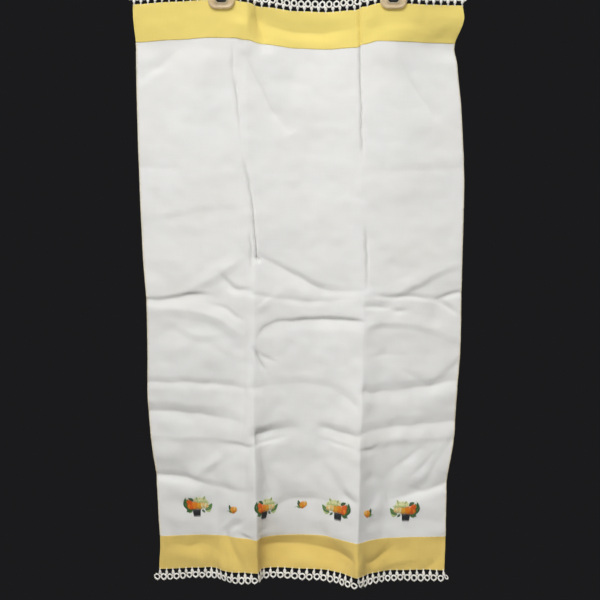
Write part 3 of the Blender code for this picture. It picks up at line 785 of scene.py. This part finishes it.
ON_CLOTH = {"Place": "Vector"}
GROUPS = {
    "weave": node_group("plain_weave", {**ON_CLOTH, "Spacing": "Float"}, "Height", weave_height),
    "slubs": node_group("slubs", {**ON_CLOTH, "Length": "Float", "Width": "Float"}, "Mask", slub_mask),
    "marks": node_group("faint_marks", {**ON_CLOTH, "Size": "Float"}, "Mask", mark_mask),
    "twist": node_group("twisted_thread", {"Twist": "Vector", "Lay": "Float"}, "Height", twist_height),
}


def use_group(tree, name, values):
    """Places a node group with its own values."""
    return node(tree, "Group", values, node_tree=GROUPS[name]).outputs[0]


def blend(tree, mask, low, high):
    """A colour between two others, by a mask."""
    low, high = (c if isinstance(c, bpy.types.NodeSocket) else (*c, 1.0) for c in (low, high))
    return node(tree, "Mix", {0: mask, 6: low, 7: high}, data_type="RGBA").outputs[2]


def attribute(tree, name, kind="Fac"):
    """What a piece notes at each of its points."""
    return node(tree, "Attribute", attribute_name=name).outputs[kind]


def new_finish(name):
    """A material with its node tree."""
    finish = bpy.data.materials.new(name)
    finish.use_nodes = True
    return finish, finish.node_tree


def dress(finish, bump, values):
    """Feeds a material's Principled shader, with a bump of its own strength, distance and height."""
    tree = finish.node_tree
    if bump:
        raised = node(tree, "Bump", dict(zip(("Strength", "Distance", "Height"), bump)))
        values["Normal"] = raised.outputs[0]
    for name, value in values.items():
        feed(tree, tree.nodes["Principled BSDF"].inputs[name], value)
    return finish


def linen_finish(name, plain, slubbed_and_gap_shade, aged, spacing, trough_shade_and_soil_strength):
    """Plain-woven linen with slubs, faint marks and a dry surface, with painted shade between its threads,
    and painted shade and soil in its troughs.
    """
    finish, tree = new_finish(name)
    place = node(tree, "UVMap", uv_map="cloth").outputs[0]
    weave = use_group(tree, "weave", {"Place": place, "Spacing": spacing})
    slubs = use_group(tree, "slubs", {"Place": place, "Length": 0.022, "Width": 0.0011})
    marks = use_group(tree, "marks", {"Place": place, "Size": 0.09})
    # Thread crowns take the plain colour and the hollows between threads the darker one: painted shade,
    # with the slubs' own tone
    threads = maths(tree, "MULTIPLY_ADD", slubs, 0.5, maths(tree, "MULTIPLY", weave, 0.5))
    colour = blend(tree, threads, slubbed_and_gap_shade, plain)
    colour = blend(tree, maths(tree, "MULTIPLY", marks, 0.5), colour, aged)
    # Troughs take half the aged colour: painted shade in the creases, with some soil
    trough_shade_and_soil = maths(tree, "MULTIPLY", attribute(tree, "trough_shade_and_soil"), trough_shade_and_soil_strength)
    height = maths(tree, "MULTIPLY_ADD", slubs, 0.6, weave)
    return dress(finish, (0.45, 0.00012, height), {
        "Base Color": blend(tree, trough_shade_and_soil, colour, [0.5 * part for part in aged]),
        "Roughness": maths(tree, "MULTIPLY_ADD", slubs, -0.08, 0.94),
        "Sheen Weight": 0.12,
        "Sheen Roughness": 0.6,
        "Specular IOR Level": 0.25,
    })


def thread_finish(name, shade, light, lay=1.1, sheen=0.25, roughness=0.62):
    """Twisted thread, with painted shade in the grooves between its plies. Each stitch lies between the two
    colours.
    """
    finish, tree = new_finish(name)
    plies = use_group(tree, "twist", {"Twist": attribute(tree, "twist", "Vector"), "Lay": lay})
    tint = maths(tree, "MULTIPLY", attribute(tree, "tint"), 0.55)
    # Ply crowns take the light colour and the grooves the shade colour, painted shade; tint is each
    # stitch's own random tone
    mask = maths(tree, "MULTIPLY_ADD", plies, 0.45, tint)
    return dress(finish, (0.6, 0.00008, plies), {
        "Base Color": blend(tree, mask, shade, light),
        "Roughness": maths(tree, "MULTIPLY_ADD", plies, -0.12, roughness + 0.06),
        "Sheen Weight": sheen,
    })


def steel_finish():
    """Dark spring steel with fine rolling lines."""
    finish, tree = new_finish("spring_steel")
    place = node(tree, "TexCoord").outputs["Object"]
    lines = use_group(tree, "slubs", {"Place": place, "Length": 0.02, "Width": 0.0012})
    colour = blend(tree, lines, (0.012, 0.014, 0.012), (0.06, 0.065, 0.06))
    return dress(finish, None, {"Base Color": colour, "Metallic": 1.0, "Roughness": 0.4})


def plastic_finish():
    """Moulded plastic gone milky and warm with age, with faint flow lines and scuffs."""
    finish, tree = new_finish("clear_plastic")
    place = node(tree, "TexCoord").outputs["Object"]
    flow = use_group(tree, "slubs", {"Place": place, "Length": 0.03, "Width": 0.006})
    scuffs = use_group(tree, "marks", {"Place": place, "Size": 0.006})
    return dress(finish, (0.15, 0.0001, flow), {
        "Base Color": blend(tree, flow, (0.78, 0.61, 0.38), (0.89, 0.74, 0.50)),
        "Roughness": maths(tree, "MULTIPLY_ADD", scuffs, 0.14, 0.28),
        "IOR": 1.49,
        "Transmission Weight": 0.12,
        "Alpha": 0.56,
    })


# Each linen's plain, slubbed and aged colours (the slubbed one also paints shade between the threads), how
# far apart its threads are and how much painted shade and soil darken its troughs
WHITE = linen_finish(
    "white_linen", (0.85, 0.85, 0.84), (0.81, 0.81, 0.795), (0.82, 0.80, 0.75), 0.00052, 0.55
)
YELLOW = linen_finish(
    "yellow_linen", (0.90, 0.73, 0.21), (0.87, 0.70, 0.18), (0.85, 0.66, 0.19), 0.00058, 0.25
)
# The lower border's linen is the same yellow, made darker and warmer: painted shade for the dimmer, warmer
# light near the cloth's bottom
SHADED_YELLOW = linen_finish(
    "shaded_yellow_linen", (0.84, 0.63, 0.19), (0.80, 0.58, 0.15), (0.76, 0.51, 0.12), 0.00058, 0.25
)
CREAM_THREAD = thread_finish("tatting_thread", (0.84, 0.81, 0.74), (0.96, 0.94, 0.89))
EDGE_THREAD = thread_finish("hem_thread", (0.80, 0.66, 0.40), (0.93, 0.84, 0.62))
YELLOW_THREAD = thread_finish("seam_thread", (0.82, 0.66, 0.22), (0.93, 0.79, 0.34))
PLASTIC = plastic_finish()
STEEL = steel_finish()

# Stranded cottons, each from its shaded strands to its light ones
COTTONS = {
    "red_orange": ((0.60, 0.075, 0.004), (0.88, 0.17, 0.012)),
    "orange": ((0.68, 0.18, 0.006), (0.90, 0.32, 0.02)),
    "amber": ((0.66, 0.29, 0.015), (0.84, 0.46, 0.05)),
    "peach": ((0.72, 0.42, 0.14), (0.86, 0.62, 0.28)),
    "cream": ((0.64, 0.64, 0.30), (0.82, 0.82, 0.50)),
    "pale_green": ((0.40, 0.50, 0.16), (0.60, 0.68, 0.32)),
    "leaf_green": ((0.06, 0.19, 0.03), (0.18, 0.38, 0.08)),
    "dark_green": ((0.018, 0.08, 0.018), (0.06, 0.17, 0.05)),
    "near_black": ((0.008, 0.012, 0.014), (0.03, 0.035, 0.04)),
    "brown": ((0.10, 0.045, 0.02), (0.22, 0.11, 0.05)),
}


# ---- The cloth ----
def make_cloth():
    """The white field and the two yellow borders lapped over its ends."""
    columns = profile(-HALF, COLUMNS, *SIDE_TURN)
    rows = profile(BORDER - LAP, FIELD_ROWS, *END_TURN)
    cloths = [linen("field_cloth", columns, rows, FIELD_FACE, WHITE, "linen_field")]
    # The lower border takes the yellow with painted shade
    for end, start, finish in (("upper", 0.0, YELLOW), ("lower", LENGTH - BORDER, SHADED_YELLOW)):
        rows = profile(start, ((start + BORDER, BORDER_STEP),), *END_TURN)
        name, replaced = f"{end}_border_cloth", f"{end}_border"
        cloths.append(linen(name, columns, rows, BORDER_FACE, finish, replaced))
    return cloths


def make_hem_stitches():
    """Whip stitches that wrap the field's side edges."""
    work = ThreadWork(FINE)
    turn = np.linspace(-0.5, 0.5, 8)
    in_from_edge = WHIP_REACH * (1 - np.cos(turn * pi)) - WHIP_ROUND * np.cos(turn * pi)
    raised = FIELD_FACE - SIDE_TURN[1] / 2 + WHIP_RISE * np.sin(turn * pi)
    for side in (-1, 1):
        down = BORDER + WHIP_REACH
        while down < LENGTH - BORDER - WHIP_REACH:
            slant = down + WHIP_SLANT * turn + stray(0.15)
            work.thread(side * (HALF - in_from_edge), slant, raised, *HEM_WHIP)
            down += CHANCE.uniform(*WHIP_STEPS)
    return work.make("hem_stitches", EDGE_THREAD, "embroidery_thread")


def make_seam_stitches():
    """Small running stitches that hold each border to the field, and its turned side edges down."""
    work = ThreadWork(FINE)
    for seam in (BORDER - 1.2, LENGTH - BORDER + 1.2):
        across = RUN_MARGIN - HALF
        while across < HALF - RUN_MARGIN - 1.0:
            drift = stray(0.12)
            work.stitch((across, seam + drift), (across + RUN_LENGTH, seam - drift), *RUN_SHAPE)
            across += RUN_STEP
    for start in (0.0, LENGTH - BORDER):
        for side in (-1, 1):
            down = start + RUN_MARGIN
            while down < start + BORDER - RUN_MARGIN - 1.0:
                across = side * (HALF - 3.6) + stray(0.1)
                work.stitch((across, down), (across, down + RUN_LENGTH), *RUN_SHAPE)
                down += RUN_STEP
    return work.make("seam_stitches", YELLOW_THREAD, "embroidery_thread")


# ---- Tatted lace ----
def tatted_ring(work, centre, away, radii, tip, turn, rope=ROPE):
    """A ring of double stitches over a core thread, drawn to a soft tip away from the border."""
    angle = np.linspace(0, 2 * pi, RING_STEPS, endpoint=False)
    reach = radii[1] * (1 + tip * np.maximum(0, np.cos(angle)) ** 5)
    x, y = radii[0] * np.sin(angle), reach * np.cos(angle)
    across = centre[0] + x * cos(turn) - y * sin(turn)
    down = centre[1] + away * (y * cos(turn) + x * sin(turn))
    ridge = np.sin(angle * RING_STITCHES)
    tilt = stray(0.2)
    raised = LACE_MIDDLE + stray(0.15) + tilt * np.sin(angle)
    width = rope * CHANCE.uniform(0.92, 1.05) + 0.2 * ridge
    thick = rope * ROPE_FLATNESS + 0.16 * ridge
    work.thread(across, down, raised, width, thick, closed=True)


def picot(work, place, away, size):
    """A tiny loop of bare thread."""
    angle = np.linspace(0.15 * pi, 1.85 * pi, 12)
    across = place[0] + size * 0.62 * np.sin(angle)
    down = place[1] + away * size * (1 - np.cos(angle)) * 0.8
    work.thread(across, down, LACE_MIDDLE, *LOOP)


def tatted_bar(work, start, end, belly):
    """A plump teardrop of close wraps, narrow at the border and round where it meets two rings."""
    share = np.linspace(0, 1, 28)
    ridge = np.sin(share * BAR_WRAPS * 2 * pi)
    swell = ease((share - 0.12) / 0.45) * np.sqrt(np.clip((1.001 - share) * 4.5, 0, 1))
    shape = BAR_NECK + (belly - BAR_NECK) * swell
    thick = np.minimum(shape * BAR_FLATNESS, BAR_THICKEST) + 0.1 * ridge
    width = shape + 0.16 * ridge
    work.thread(*between(start, end, share), LACE_MIDDLE, width, thick)


def border_whips(work, across, edge, away):
    """Two short stitches that sew a bar to the border."""
    share = np.linspace(0, 1, STITCH_POINTS)
    for shift in (-0.55, 0.55):
        x = across + shift * (0.5 + share)
        y = edge - away * (1.6 - 2.0 * share)
        raised = BORDER_FACE + 0.25 * np.sin(share * pi) - 0.1
        work.thread(x, y, raised, *BORDER_WHIP)


def make_lace(name, edge, away, stand, replaced):
    """The edging of one end. Away is -1 above the cloth and 1 below it, and stand is how upright it is."""
    work = ThreadWork(ROUND)
    first = -PITCH * (RINGS - 1) / 2
    wide, high = PITCH / 2 - RING_INSET, RING_HALF_HEIGHT - RING_INSET
    level = edge + away * stand * (0.3 + BAR_HEIGHT + RING_HALF_HEIGHT)
    for i in range(RINGS - 1):
        centre = (first + i * PITCH + stray(0.3), level + stray(0.45))
        size = CHANCE.uniform(0.93, 1.05)
        tip = CHANCE.uniform(0.0, 0.2)
        tatted_ring(work, centre, away, (wide * size, high * size), tip, stray(0.2))
        bottom = (centre[0], centre[1] + away * (high * size * (1 + tip) + ROPE / 2 - 0.3))
        picot(work, bottom, away, CHANCE.uniform(0.3, 0.6))
    # The last ring is a small one, where the lace was finished off
    last = first + (RINGS - 1) * PITCH
    tatted_ring(work, (last - 1.2, level - away * 1.2), away, (1.6, 2.1), 0.3, -0.5, 1.5)
    for i in range(RINGS - 1):
        middle = first + (i + 0.5) * PITCH
        base = (np.clip(middle + stray(0.35), 0.6 - HALF, HALF - 0.6), edge - away * 0.3)
        end = (middle + stray(0.3), level - away * CHANCE.uniform(2.0, 2.5))
        tatted_bar(work, base, end, CHANCE.uniform(*BAR_BELLIES))
        border_whips(work, base[0], edge, away)
    return work.make(name, CREAM_THREAD, "lace_thread", [replaced])


# ---- Embroidery ----
COTTON_WORKS = {name: ThreadWork(FINE) for name in COTTONS}


class Motif:
    """A place on the cloth to embroider at, with its own right and down, width and turn."""

    def __init__(self, across, down, width, mirrored, turn):
        self.across, self.down, self.turn = across, down, turn
        self.side = -width if mirrored else width

    def at(self, x, y):
        """A cloth place from the motif's own millimetres."""
        right = x * cos(self.turn) - y * sin(self.turn)
        return self.across + self.side * right, self.down + x * sin(self.turn) + y * cos(self.turn)

    def stitch(self, cotton, start, end, width=STRAND, rise=0.35):
        """One straight stitch between two of the motif's own places."""
        COTTON_WORKS[cotton].stitch(self.at(*start), self.at(*end), width, rise)

    def fruit(self, cotton, x, y, radius, lean, squat, light):
        """A padded disc of satin stitches, with a few strands of a lighter cotton on one side."""
        count = round(2 * radius / SATIN_STEP)
        for i in range(count):
            off = (2 * (i + 0.5) / count - 1) * radius
            half = np.sqrt(radius * radius - off * off) * squat * CHANCE.uniform(0.96, 1.04)
            rise = 0.35 + SATIN_RISE * np.sqrt(max(0.0, 1 - (off / radius) ** 2))
            start = (x + off * cos(lean) - half * sin(lean), y + off * sin(lean) + half * cos(lean))
            end = (x + off * cos(lean) + half * sin(lean), y + off * sin(lean) - half * cos(lean))
            self.stitch(light if 0.15 < i / count < 0.45 else cotton, start, end, rise=rise)

    def leaf(self, cotton, base, tip, width, bend, vein):
        """A fishbone leaf from its base to its tip, bent to one side, with a vein."""
        run, fall = tip[0] - base[0], tip[1] - base[1]
        length = np.hypot(run, fall)
        aside = (-fall / length, run / length)

        def rib(share):
            bow = bend * 4 * share * (1 - share)
            return base[0] + run * share + aside[0] * bow, base[1] + fall * share + aside[1] * bow

        count = round(length / LEAF_STEP)
        for i in range(count):
            share = (i + 0.3) / count
            inner = rib(share)
            outer = rib(min(1.0, share + 0.16))
            half = width / 2 * sin(pi * min(1.0, share + 0.1) ** 0.8) + 0.15
            for way in (-1, 1):
                edge = (outer[0] + way * aside[0] * half, outer[1] + way * aside[1] * half)
                self.stitch(cotton, inner, edge, rise=LEAF_RISE)
        if vein:
            self.stem(vein, [rib(share) for share in np.linspace(0.0, 0.9, 6)], rise=VEIN_RISE)

    def stem(self, cotton, places, rise=0.35):
        """Overlapping slanted stitches along a line."""
        for start, end in zip(places, places[1:]):
            self.stitch(cotton, start, (end[0] + 0.15, end[1] + 0.15), 0.48, rise)

    def knots(self, cotton, places, size=0.55):
        """French knots."""
        turn = np.linspace(0, 2 * pi, 9)[:-1]
        for x, y in places:
            across, down = self.at(x, y)
            around, along = across + size * 0.5 * np.cos(turn), down + size * 0.5 * np.sin(turn)
            COTTON_WORKS[cotton].thread(around, along, FIELD_FACE + 0.35, size, 0.6, closed=True)

    def petals(self, cotton, x, y, size, start):
        """A small flower of straight petals round a knot."""
        for i in range(PETALS):
            angle = start + i * 2 * pi / PETALS
            for spread in (-0.22, 0.0, 0.22):
                inner = (x + 0.3 * cos(angle), y + 0.3 * sin(angle))
                outer = (x + size * cos(angle + spread), y + size * sin(angle + spread))
                self.stitch(cotton, inner, outer, 0.48, 0.35)


def basket(motif):
    """A little dark basket, woven in couched strands, under its brown rim."""
    top, bottom, wide, narrow = 2.8, 12.0, 5.2, 4.3

    def half(y):
        return wide + (narrow - wide) * (y - top) / (bottom - top)

    count = 18
    for i in range(count):
        share = 2 * (i + 0.5) / count - 1
        motif.stitch("near_black", (share * half(top), top), (share * half(bottom), bottom), 0.56, 0.4)
    rows, pairs = 6, 5
    for row in range(rows):
        y = top + 1.1 + row * (bottom - top - 1.2) / (rows - 0.4)
        for i in range(pairs):
            left = -1 + 2 * (i + 0.5 * (row % 2)) / pairs
            right = min(left + 1.15 / pairs, 0.98)
            if left < 0.95:
                motif.stitch("near_black", (left * half(y), y), (right * half(y), y), 0.62, 0.75)
    rim = [(x, top + 0.9 + 0.15 * abs(x) / wide) for x in np.linspace(-wide - 0.4, wide + 0.2, 9)]
    motif.stem("brown", rim, rise=0.9)
    motif.stem("near_black", [(x, bottom) for x in np.linspace(-narrow, narrow - 0.2, 7)], rise=0.5)


# Cotton, left, right, top and bottom of each patch of stitches behind the fruit and the blossom
HEAPS = (
    ("dark_green", -12.6, -8.0, -7.0, 4.8),
    ("red_orange", -10.4, -5.2, -6.4, 2.9),
    ("orange", -5.2, 0.6, -4.6, 3.0),
    ("amber", 0.6, 6.0, -4.4, 2.8),
    ("peach", 6.0, 12.6, -4.2, 2.4),
    ("cream", -2.0, 12.4, -10.2, -4.6),
    ("pale_green", 1.0, 14.4, -8.2, -3.6),
)


def heap(motif):
    """Close upright stitches that cover the linen behind the fruit and the blossom."""
    for colour, left, right, top, bottom in HEAPS:
        for x in np.arange(left, right, HEAP_STEP):
            high = (x, top + stray(0.8))
            motif.stitch(colour, high, (x + stray(0.5), bottom), *HEAP_SHAPE)


# Cotton, base, tip, width and bend of each leaf, and the cotton of its vein
BASKET_LEAVES = (
    ("leaf_green", (-9.0, 4.6), (-11.4, -9.6), 5.0, -1.6, "dark_green"),
    ("dark_green", (-10.8, 4.2), (-13.6, -10.8), 5.4, -2.0, "dark_green"),
    ("dark_green", (-4.6, 3.8), (-13.2, 6.4), 4.4, 0.5, "dark_green"),
    ("leaf_green", (-5.4, 5.2), (-10.6, 7.6), 2.6, 0.0, None),
    ("dark_green", (-3.2, -6.6), (-10.0, -10.6), 3.8, 0.6, "dark_green"),
    ("leaf_green", (10.6, 4.6), (20.2, -3.8), 5.8, 1.4, "dark_green"),
    ("pale_green", (11.6, 5.6), (18.4, 3.6), 3.4, 0.8, None),
    ("dark_green", (6.8, 4.0), (10.4, 7.4), 2.8, 0.0, None),
    ("pale_green", (1.6, -6.4), (0.2, -12.4), 3.2, 0.0, "dark_green"),
    ("pale_green", (9.8, -6.6), (11.6, -13.2), 3.4, -0.6, "dark_green"),
)
BUD_LEAVES = (
    ("dark_green", (0.2, 2.6), (-2.4, -5.0), 3.8, -0.5, "dark_green"),
    ("leaf_green", (0.4, 4.2), (-3.8, 2.2), 2.4, 0.0, None),
)

# Cotton, place, radius, lean and squatness of each fruit or petal, and the cotton of its lit side
BASKET_FRUITS = (
    ("peach", 12.0, -0.8, 3.6, 0.3, 1.0, "cream"),
    ("peach", 8.2, -1.2, 4.2, -0.4, 1.0, "cream"),
    ("red_orange", -8.6, -4.8, 4.2, 0.5, 1.0, "red_orange"),
    ("red_orange", -7.4, -0.2, 4.8, 0.3, 1.0, "orange"),
    ("amber", 3.8, -0.8, 4.7, 0.2, 1.05, "amber"),
    ("orange", -1.8, -1.2, 4.9, -0.3, 1.1, "orange"),
)
BUD_PETALS = (
    ("orange", 2.6, 0.6, 3.7, 0.15, 1.3, "amber"),
    ("amber", 5.2, -0.6, 2.6, 0.2, 1.45, "peach"),
)

# Place, size and turn of each flower
FLOWERS = (
    (-1.6, -8.4, 2.2, 0.2), (4.4, -10.4, 2.4, 0.5), (8.0, -9.6, 2.4, 0.1), (2.2, -6.8, 2.2, 0.9),
    (5.8, -6.8, 2.6, 0.4), (10.6, -6.2, 2.4, 0.7), (14.0, -4.2, 2.2, 0.2),
)
FLOWER_KNOTS = ((-12.4, -11.8), (-1.0, -11.0), (15.6, -6.0), (9.6, -11.6))
FRUIT_KNOTS = ((-9.8, -7.4), (-2.4, -5.2), (4.2, -4.6))


def fruit_basket(motif):
    """Fruit heaped in the basket, with blossom above and leaves close round its sides."""
    heap(motif)
    for leaf in BASKET_LEAVES:
        motif.leaf(*leaf)
    for x, y, size, start in FLOWERS:
        motif.petals("cream", x, y, size, start)
        motif.petals("cream", x + 0.4, y + 0.8, size * 0.8, start + 0.6)
        motif.knots("pale_green", [(x, y)])
    motif.knots("cream", FLOWER_KNOTS, 0.7)
    for fruit in BASKET_FRUITS:
        motif.fruit(*fruit)
    motif.knots("brown", FRUIT_KNOTS, 0.45)
    basket(motif)


def blossom(motif):
    """A plump orange bud of two petals, with its leaves and stem."""
    for leaf in BUD_LEAVES:
        motif.leaf(*leaf)
    for petal in BUD_PETALS:
        motif.fruit(*petal)
    motif.stem("leaf_green", [(-1.4, 1.6), (-3.2, 2.0), (-5.0, 2.8), (-6.8, 3.4)])


# Across, down, width against the others and whether it is mirrored
BASKETS = (
    (-136.5, 586.7, 1.0, False),
    (-44.5, 585.5, 0.82, False),
    (44.5, 587.0, 1.0, True),
    (135.5, 590.0, 1.0, True),
)
BUDS = (
    (-90.0, 587.0, 1.0, False),
    (-1.5, 584.0, 1.0, False),
    (86.5, 588.0, 1.0, True),
)


def make_embroidery():
    """Four baskets and three buds in a row above the lower border, mirrored towards the middle."""
    for places, embroider in ((BASKETS, fruit_basket), (BUDS, blossom)):
        for across, down, width, mirrored in places:
            embroider(Motif(across, down, width, mirrored, stray(0.04)))
    made = []
    for name, work in COTTON_WORKS.items():
        finish = thread_finish(f"cotton_{name}", *COTTONS[name], lay=0.9, sheen=0.1, roughness=0.5)
        made.append(work.make(f"embroidery_{name}", finish, "embroidery_thread"))
    return made


# ---- Clips ----
def jaw_outline(low, high, inset, corner):
    """Places round a jaw, drawn in by inset from its box, with round lower and near-square upper ends."""
    places = []
    corners = ((low.x, low.z, pi, corner), (high.x, low.z, 1.5 * pi, corner))
    corners += ((high.x, high.z, 0.0, UPPER_CORNER), (low.x, high.z, 0.5 * pi, UPPER_CORNER))
    for x, z, start, radius in corners:
        middle_x = x + radius if x == low.x else x - radius
        middle_z = z + radius if z == low.z else z - radius
        left = max(radius - inset, SHARPEST_CORNER)
        shift = max(0.0, inset - radius + SHARPEST_CORNER)
        middle_x += shift if x == low.x else -shift
        middle_z += shift if z == low.z else -shift
        for angle in np.linspace(start, start + pi / 2, CORNER_STEPS):
            places.append((middle_x + left * cos(angle), middle_z + left * sin(angle)))
    return np.array(places)


def make_jaw(name, node_name, front):
    """A moulded jaw: a rim bead, a sunk panel, a beaded slot through it, and ribs that grip the cloth."""
    low, high = (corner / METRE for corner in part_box(node_name))
    face, outwards = (high.y, -1) if front else (low.y, 1)
    thick = high.y - low.y
    aside = (high.x - low.x - WINDOW_WIDTH) / 2
    window_low = Vector((low.x + aside, 0, low.z + WINDOW_RISE))
    window_high = Vector((high.x - aside, 0, window_low.z + WINDOW_LENGTH))
    # How far in from the jaw's edge and how deep each line of the rim is, and then of the slot's bead
    rim = (
        (1.2, 0.0), (0.5, 0.1), (0.1, 0.4), (0.0, 0.8), (0.15, 0.5 * thick), (0.6, 0.8 * thick),
        (1.3, 0.96 * thick), (2.1, thick), (2.7, thick - 0.3), (3.2, thick - 0.6),
    )
    slot = ((-1.7, thick - 0.6), (-1.3, thick - 0.3), (-0.5, thick - 0.3), (0.0, thick - 0.6), (0.0, 0.0))
    rings = [(jaw_outline(low, high, inset, JAW_CORNER), depth) for inset, depth in rim]
    rings += [(jaw_outline(window_low, window_high, inset, SLOT_CORNER), depth) for inset, depth in slot]
    points = [(x, face + outwards * depth, z) for ring, depth in rings for x, z in ring]
    faces = grid_faces(len(rings) + 1, len(rings[0][0]), closed=True) % len(points)
    faces = (faces if front else faces[:, ::-1]).tolist()
    for rise in RIB_RISES:
        add_rib(points, faces, low, high, face, -outwards, low.z + rise)
    plastic_faces = len(faces)
    if front:
        spring_leaf(points, faces, window_low, window_high, face + outwards * 0.2)
    made = piece(name, points, faces, PLASTIC, [node_name])
    made.data.materials.append(STEEL)
    for polygon in made.data.polygons[plastic_faces:]:
        polygon.material_index = 1
    made.data.set_sharp_from_angle(angle=radians(50))
    return made


def spring_leaf(points, faces, low, high, front):
    """The flat end of the clip's steel spring, which shows in the front jaw's slot."""
    first = len(points)
    left, right, bottom, top = low.x - 1, high.x + 1, low.z - 1, high.z + 1
    for y in (front, front + SPRING_THICK):
        points += [(x, y, z) for x, z in ((left, bottom), (right, bottom), (right, top), (left, top))]
    box = ((0, 1, 2, 3), (7, 6, 5, 4), (0, 4, 5, 1), (1, 5, 6, 2), (2, 6, 7, 3), (3, 7, 4, 0))
    faces += [tuple(first + corner for corner in side) for side in box]


def add_rib(points, faces, low, high, face, inwards, z):
    """One half-round gripping rib across a jaw's inner face."""
    first, sides = len(points), 7
    reach = 4.5 if z < low.z + 4 else 3.0
    for x in (low.x + reach, high.x - reach):
        for i in range(sides):
            turn = pi * i / (sides - 1)
            out = face + inwards * RIB * sin(turn) - inwards * 0.05
            points.append((x, out, z + RIB * 1.4 * cos(turn)))
    for i in range(sides - 1):
        quad = [first + i, first + i + 1, first + sides + i + 1, first + sides + i]
        faces.append(quad if inwards > 0 else quad[::-1])
    for start in (first, first + sides):
        faces.append(list(range(start, start + sides)))
    faces.append([first, first + sides, first + 2 * sides - 1, first + sides - 1])


def make_clip_head(name, node_name):
    """The block over the jaws, with soft edges and a sunk panel front and back."""
    low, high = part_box(node_name)
    shape = bmesh.new()
    bmesh.ops.create_cube(shape, size=1)
    bmesh.ops.scale(shape, verts=shape.verts, vec=high - low)
    bmesh.ops.translate(shape, verts=shape.verts, vec=(high + low) / 2)
    panels = [face for face in shape.faces if abs(face.normal.y) > 0.9]
    bmesh.ops.inset_individual(shape, faces=panels, thickness=HEAD_RIM * METRE)
    sunk = {"thickness": HEAD_SLOPE * METRE, "depth": -HEAD_PANEL * METRE}
    bmesh.ops.inset_individual(shape, faces=panels, **sunk)
    rounded = {"offset": HEAD_ROUND * METRE, "segments": 3, "affect": "EDGES", "clamp_overlap": True}
    bmesh.ops.bevel(shape, geom=shape.edges[:], **rounded)
    mesh = bpy.data.meshes.new(name)
    shape.to_mesh(mesh)
    shape.free()
    mesh.shade_smooth()
    mesh.set_sharp_from_angle(angle=radians(40))
    return placed(name, mesh, PLASTIC, [node_name])


# ---- Stage ----
FLOOR = ((-1.6, -2.6, -1.0), (1.6, -2.6, -1.0), (1.6, 0.5, -1.0), (-1.6, 0.5, -1.0))
# Each light's place, size, watts, colour and how wide it spreads, in metres and degrees
LIGHTS = {
    "key_light": ((-0.36, -1.2, 0.96), (1.3, 1.0), 6.6, (1.0, 0.995, 0.985), 60),
    "fill_light": ((0.45, -1.1, -0.3), (0.9, 0.9), 0.75, (0.99, 0.995, 1.0), 180),
    "back_light": ((0.7, 1.5, 0.6), (1.2, 1.2), 20.0, (1.0, 0.98, 0.95), 180),
}
LIT_PLACE = (0.0, 0.0, -0.3)  # what the lights are aimed at
CAMERA_PLACE = (0.0, -1.255, -0.1725)
CAMERA_TILT = 81.0
LENS, SENSOR = 65.8, 36.0


def area_light(name, location, size, watts, colour, spread):
    """A soft studio light."""
    light = bpy.data.lights.new(name, "AREA")
    light.shape = "RECTANGLE"
    light.size, light.size_y = size
    light.energy = watts
    light.color = colour
    light.spread = radians(spread)
    made = add(name, light)
    made.location = location
    aim = Vector(LIT_PLACE) - Vector(location)
    made.rotation_euler = aim.to_track_quat("-Z", "Y").to_euler()


def make_stage():
    """A pale floor under the runner, a dark room round it, and soft light from above its left."""
    pale = {"Base Color": (0.72, 0.71, 0.69, 1.0), "Roughness": 0.8}
    finish = dress(new_finish("pale_floor")[0], None, pale)
    mesh = bpy.data.meshes.new("floor")
    mesh.from_pydata(FLOOR, [], [(0, 1, 2, 3)])
    mesh.materials.append(finish)
    floor = add("floor", mesh)

    world = bpy.data.worlds.new("dark_room")
    world.use_nodes = True
    world.node_tree.nodes["Background"].inputs["Color"].default_value = (0.011, 0.011, 0.012, 1.0)
    bpy.context.scene.world = world

    for name, values in LIGHTS.items():
        area_light(name, *values)


def make_camera():
    """A camera in front of the runner that looks a little down on it."""
    camera = add("camera", bpy.data.cameras.new("camera"))
    camera.location = CAMERA_PLACE
    camera.rotation_euler = (radians(CAMERA_TILT), 0.0, 0.0)
    camera.data.lens = LENS
    camera.data.sensor_width = SENSOR
    bpy.context.scene.camera = camera


make_camera()
make_stage()
bpy.context.scene.view_settings.view_transform = "Standard"

for side in CLIP_PLACES:
    make_jaw(f"{side}_clip_front", f"{side}_clip_front_jaw", front=True)
    make_jaw(f"{side}_clip_back", f"{side}_clip_back_jaw", front=False)
    make_clip_head(f"{side}_clip_top", f"{side}_clip_head")

field, upper_border, lower_border = make_cloth()
upper_lace = make_lace("upper_tatting", 0.0, -1, 0.9, "upper_lace")
lower_lace = make_lace("lower_tatting", LENGTH, 1, 1.0, "lower_lace")
hem_stitches = make_hem_stitches()
seam_stitches = make_seam_stitches()
cottons = make_embroidery()
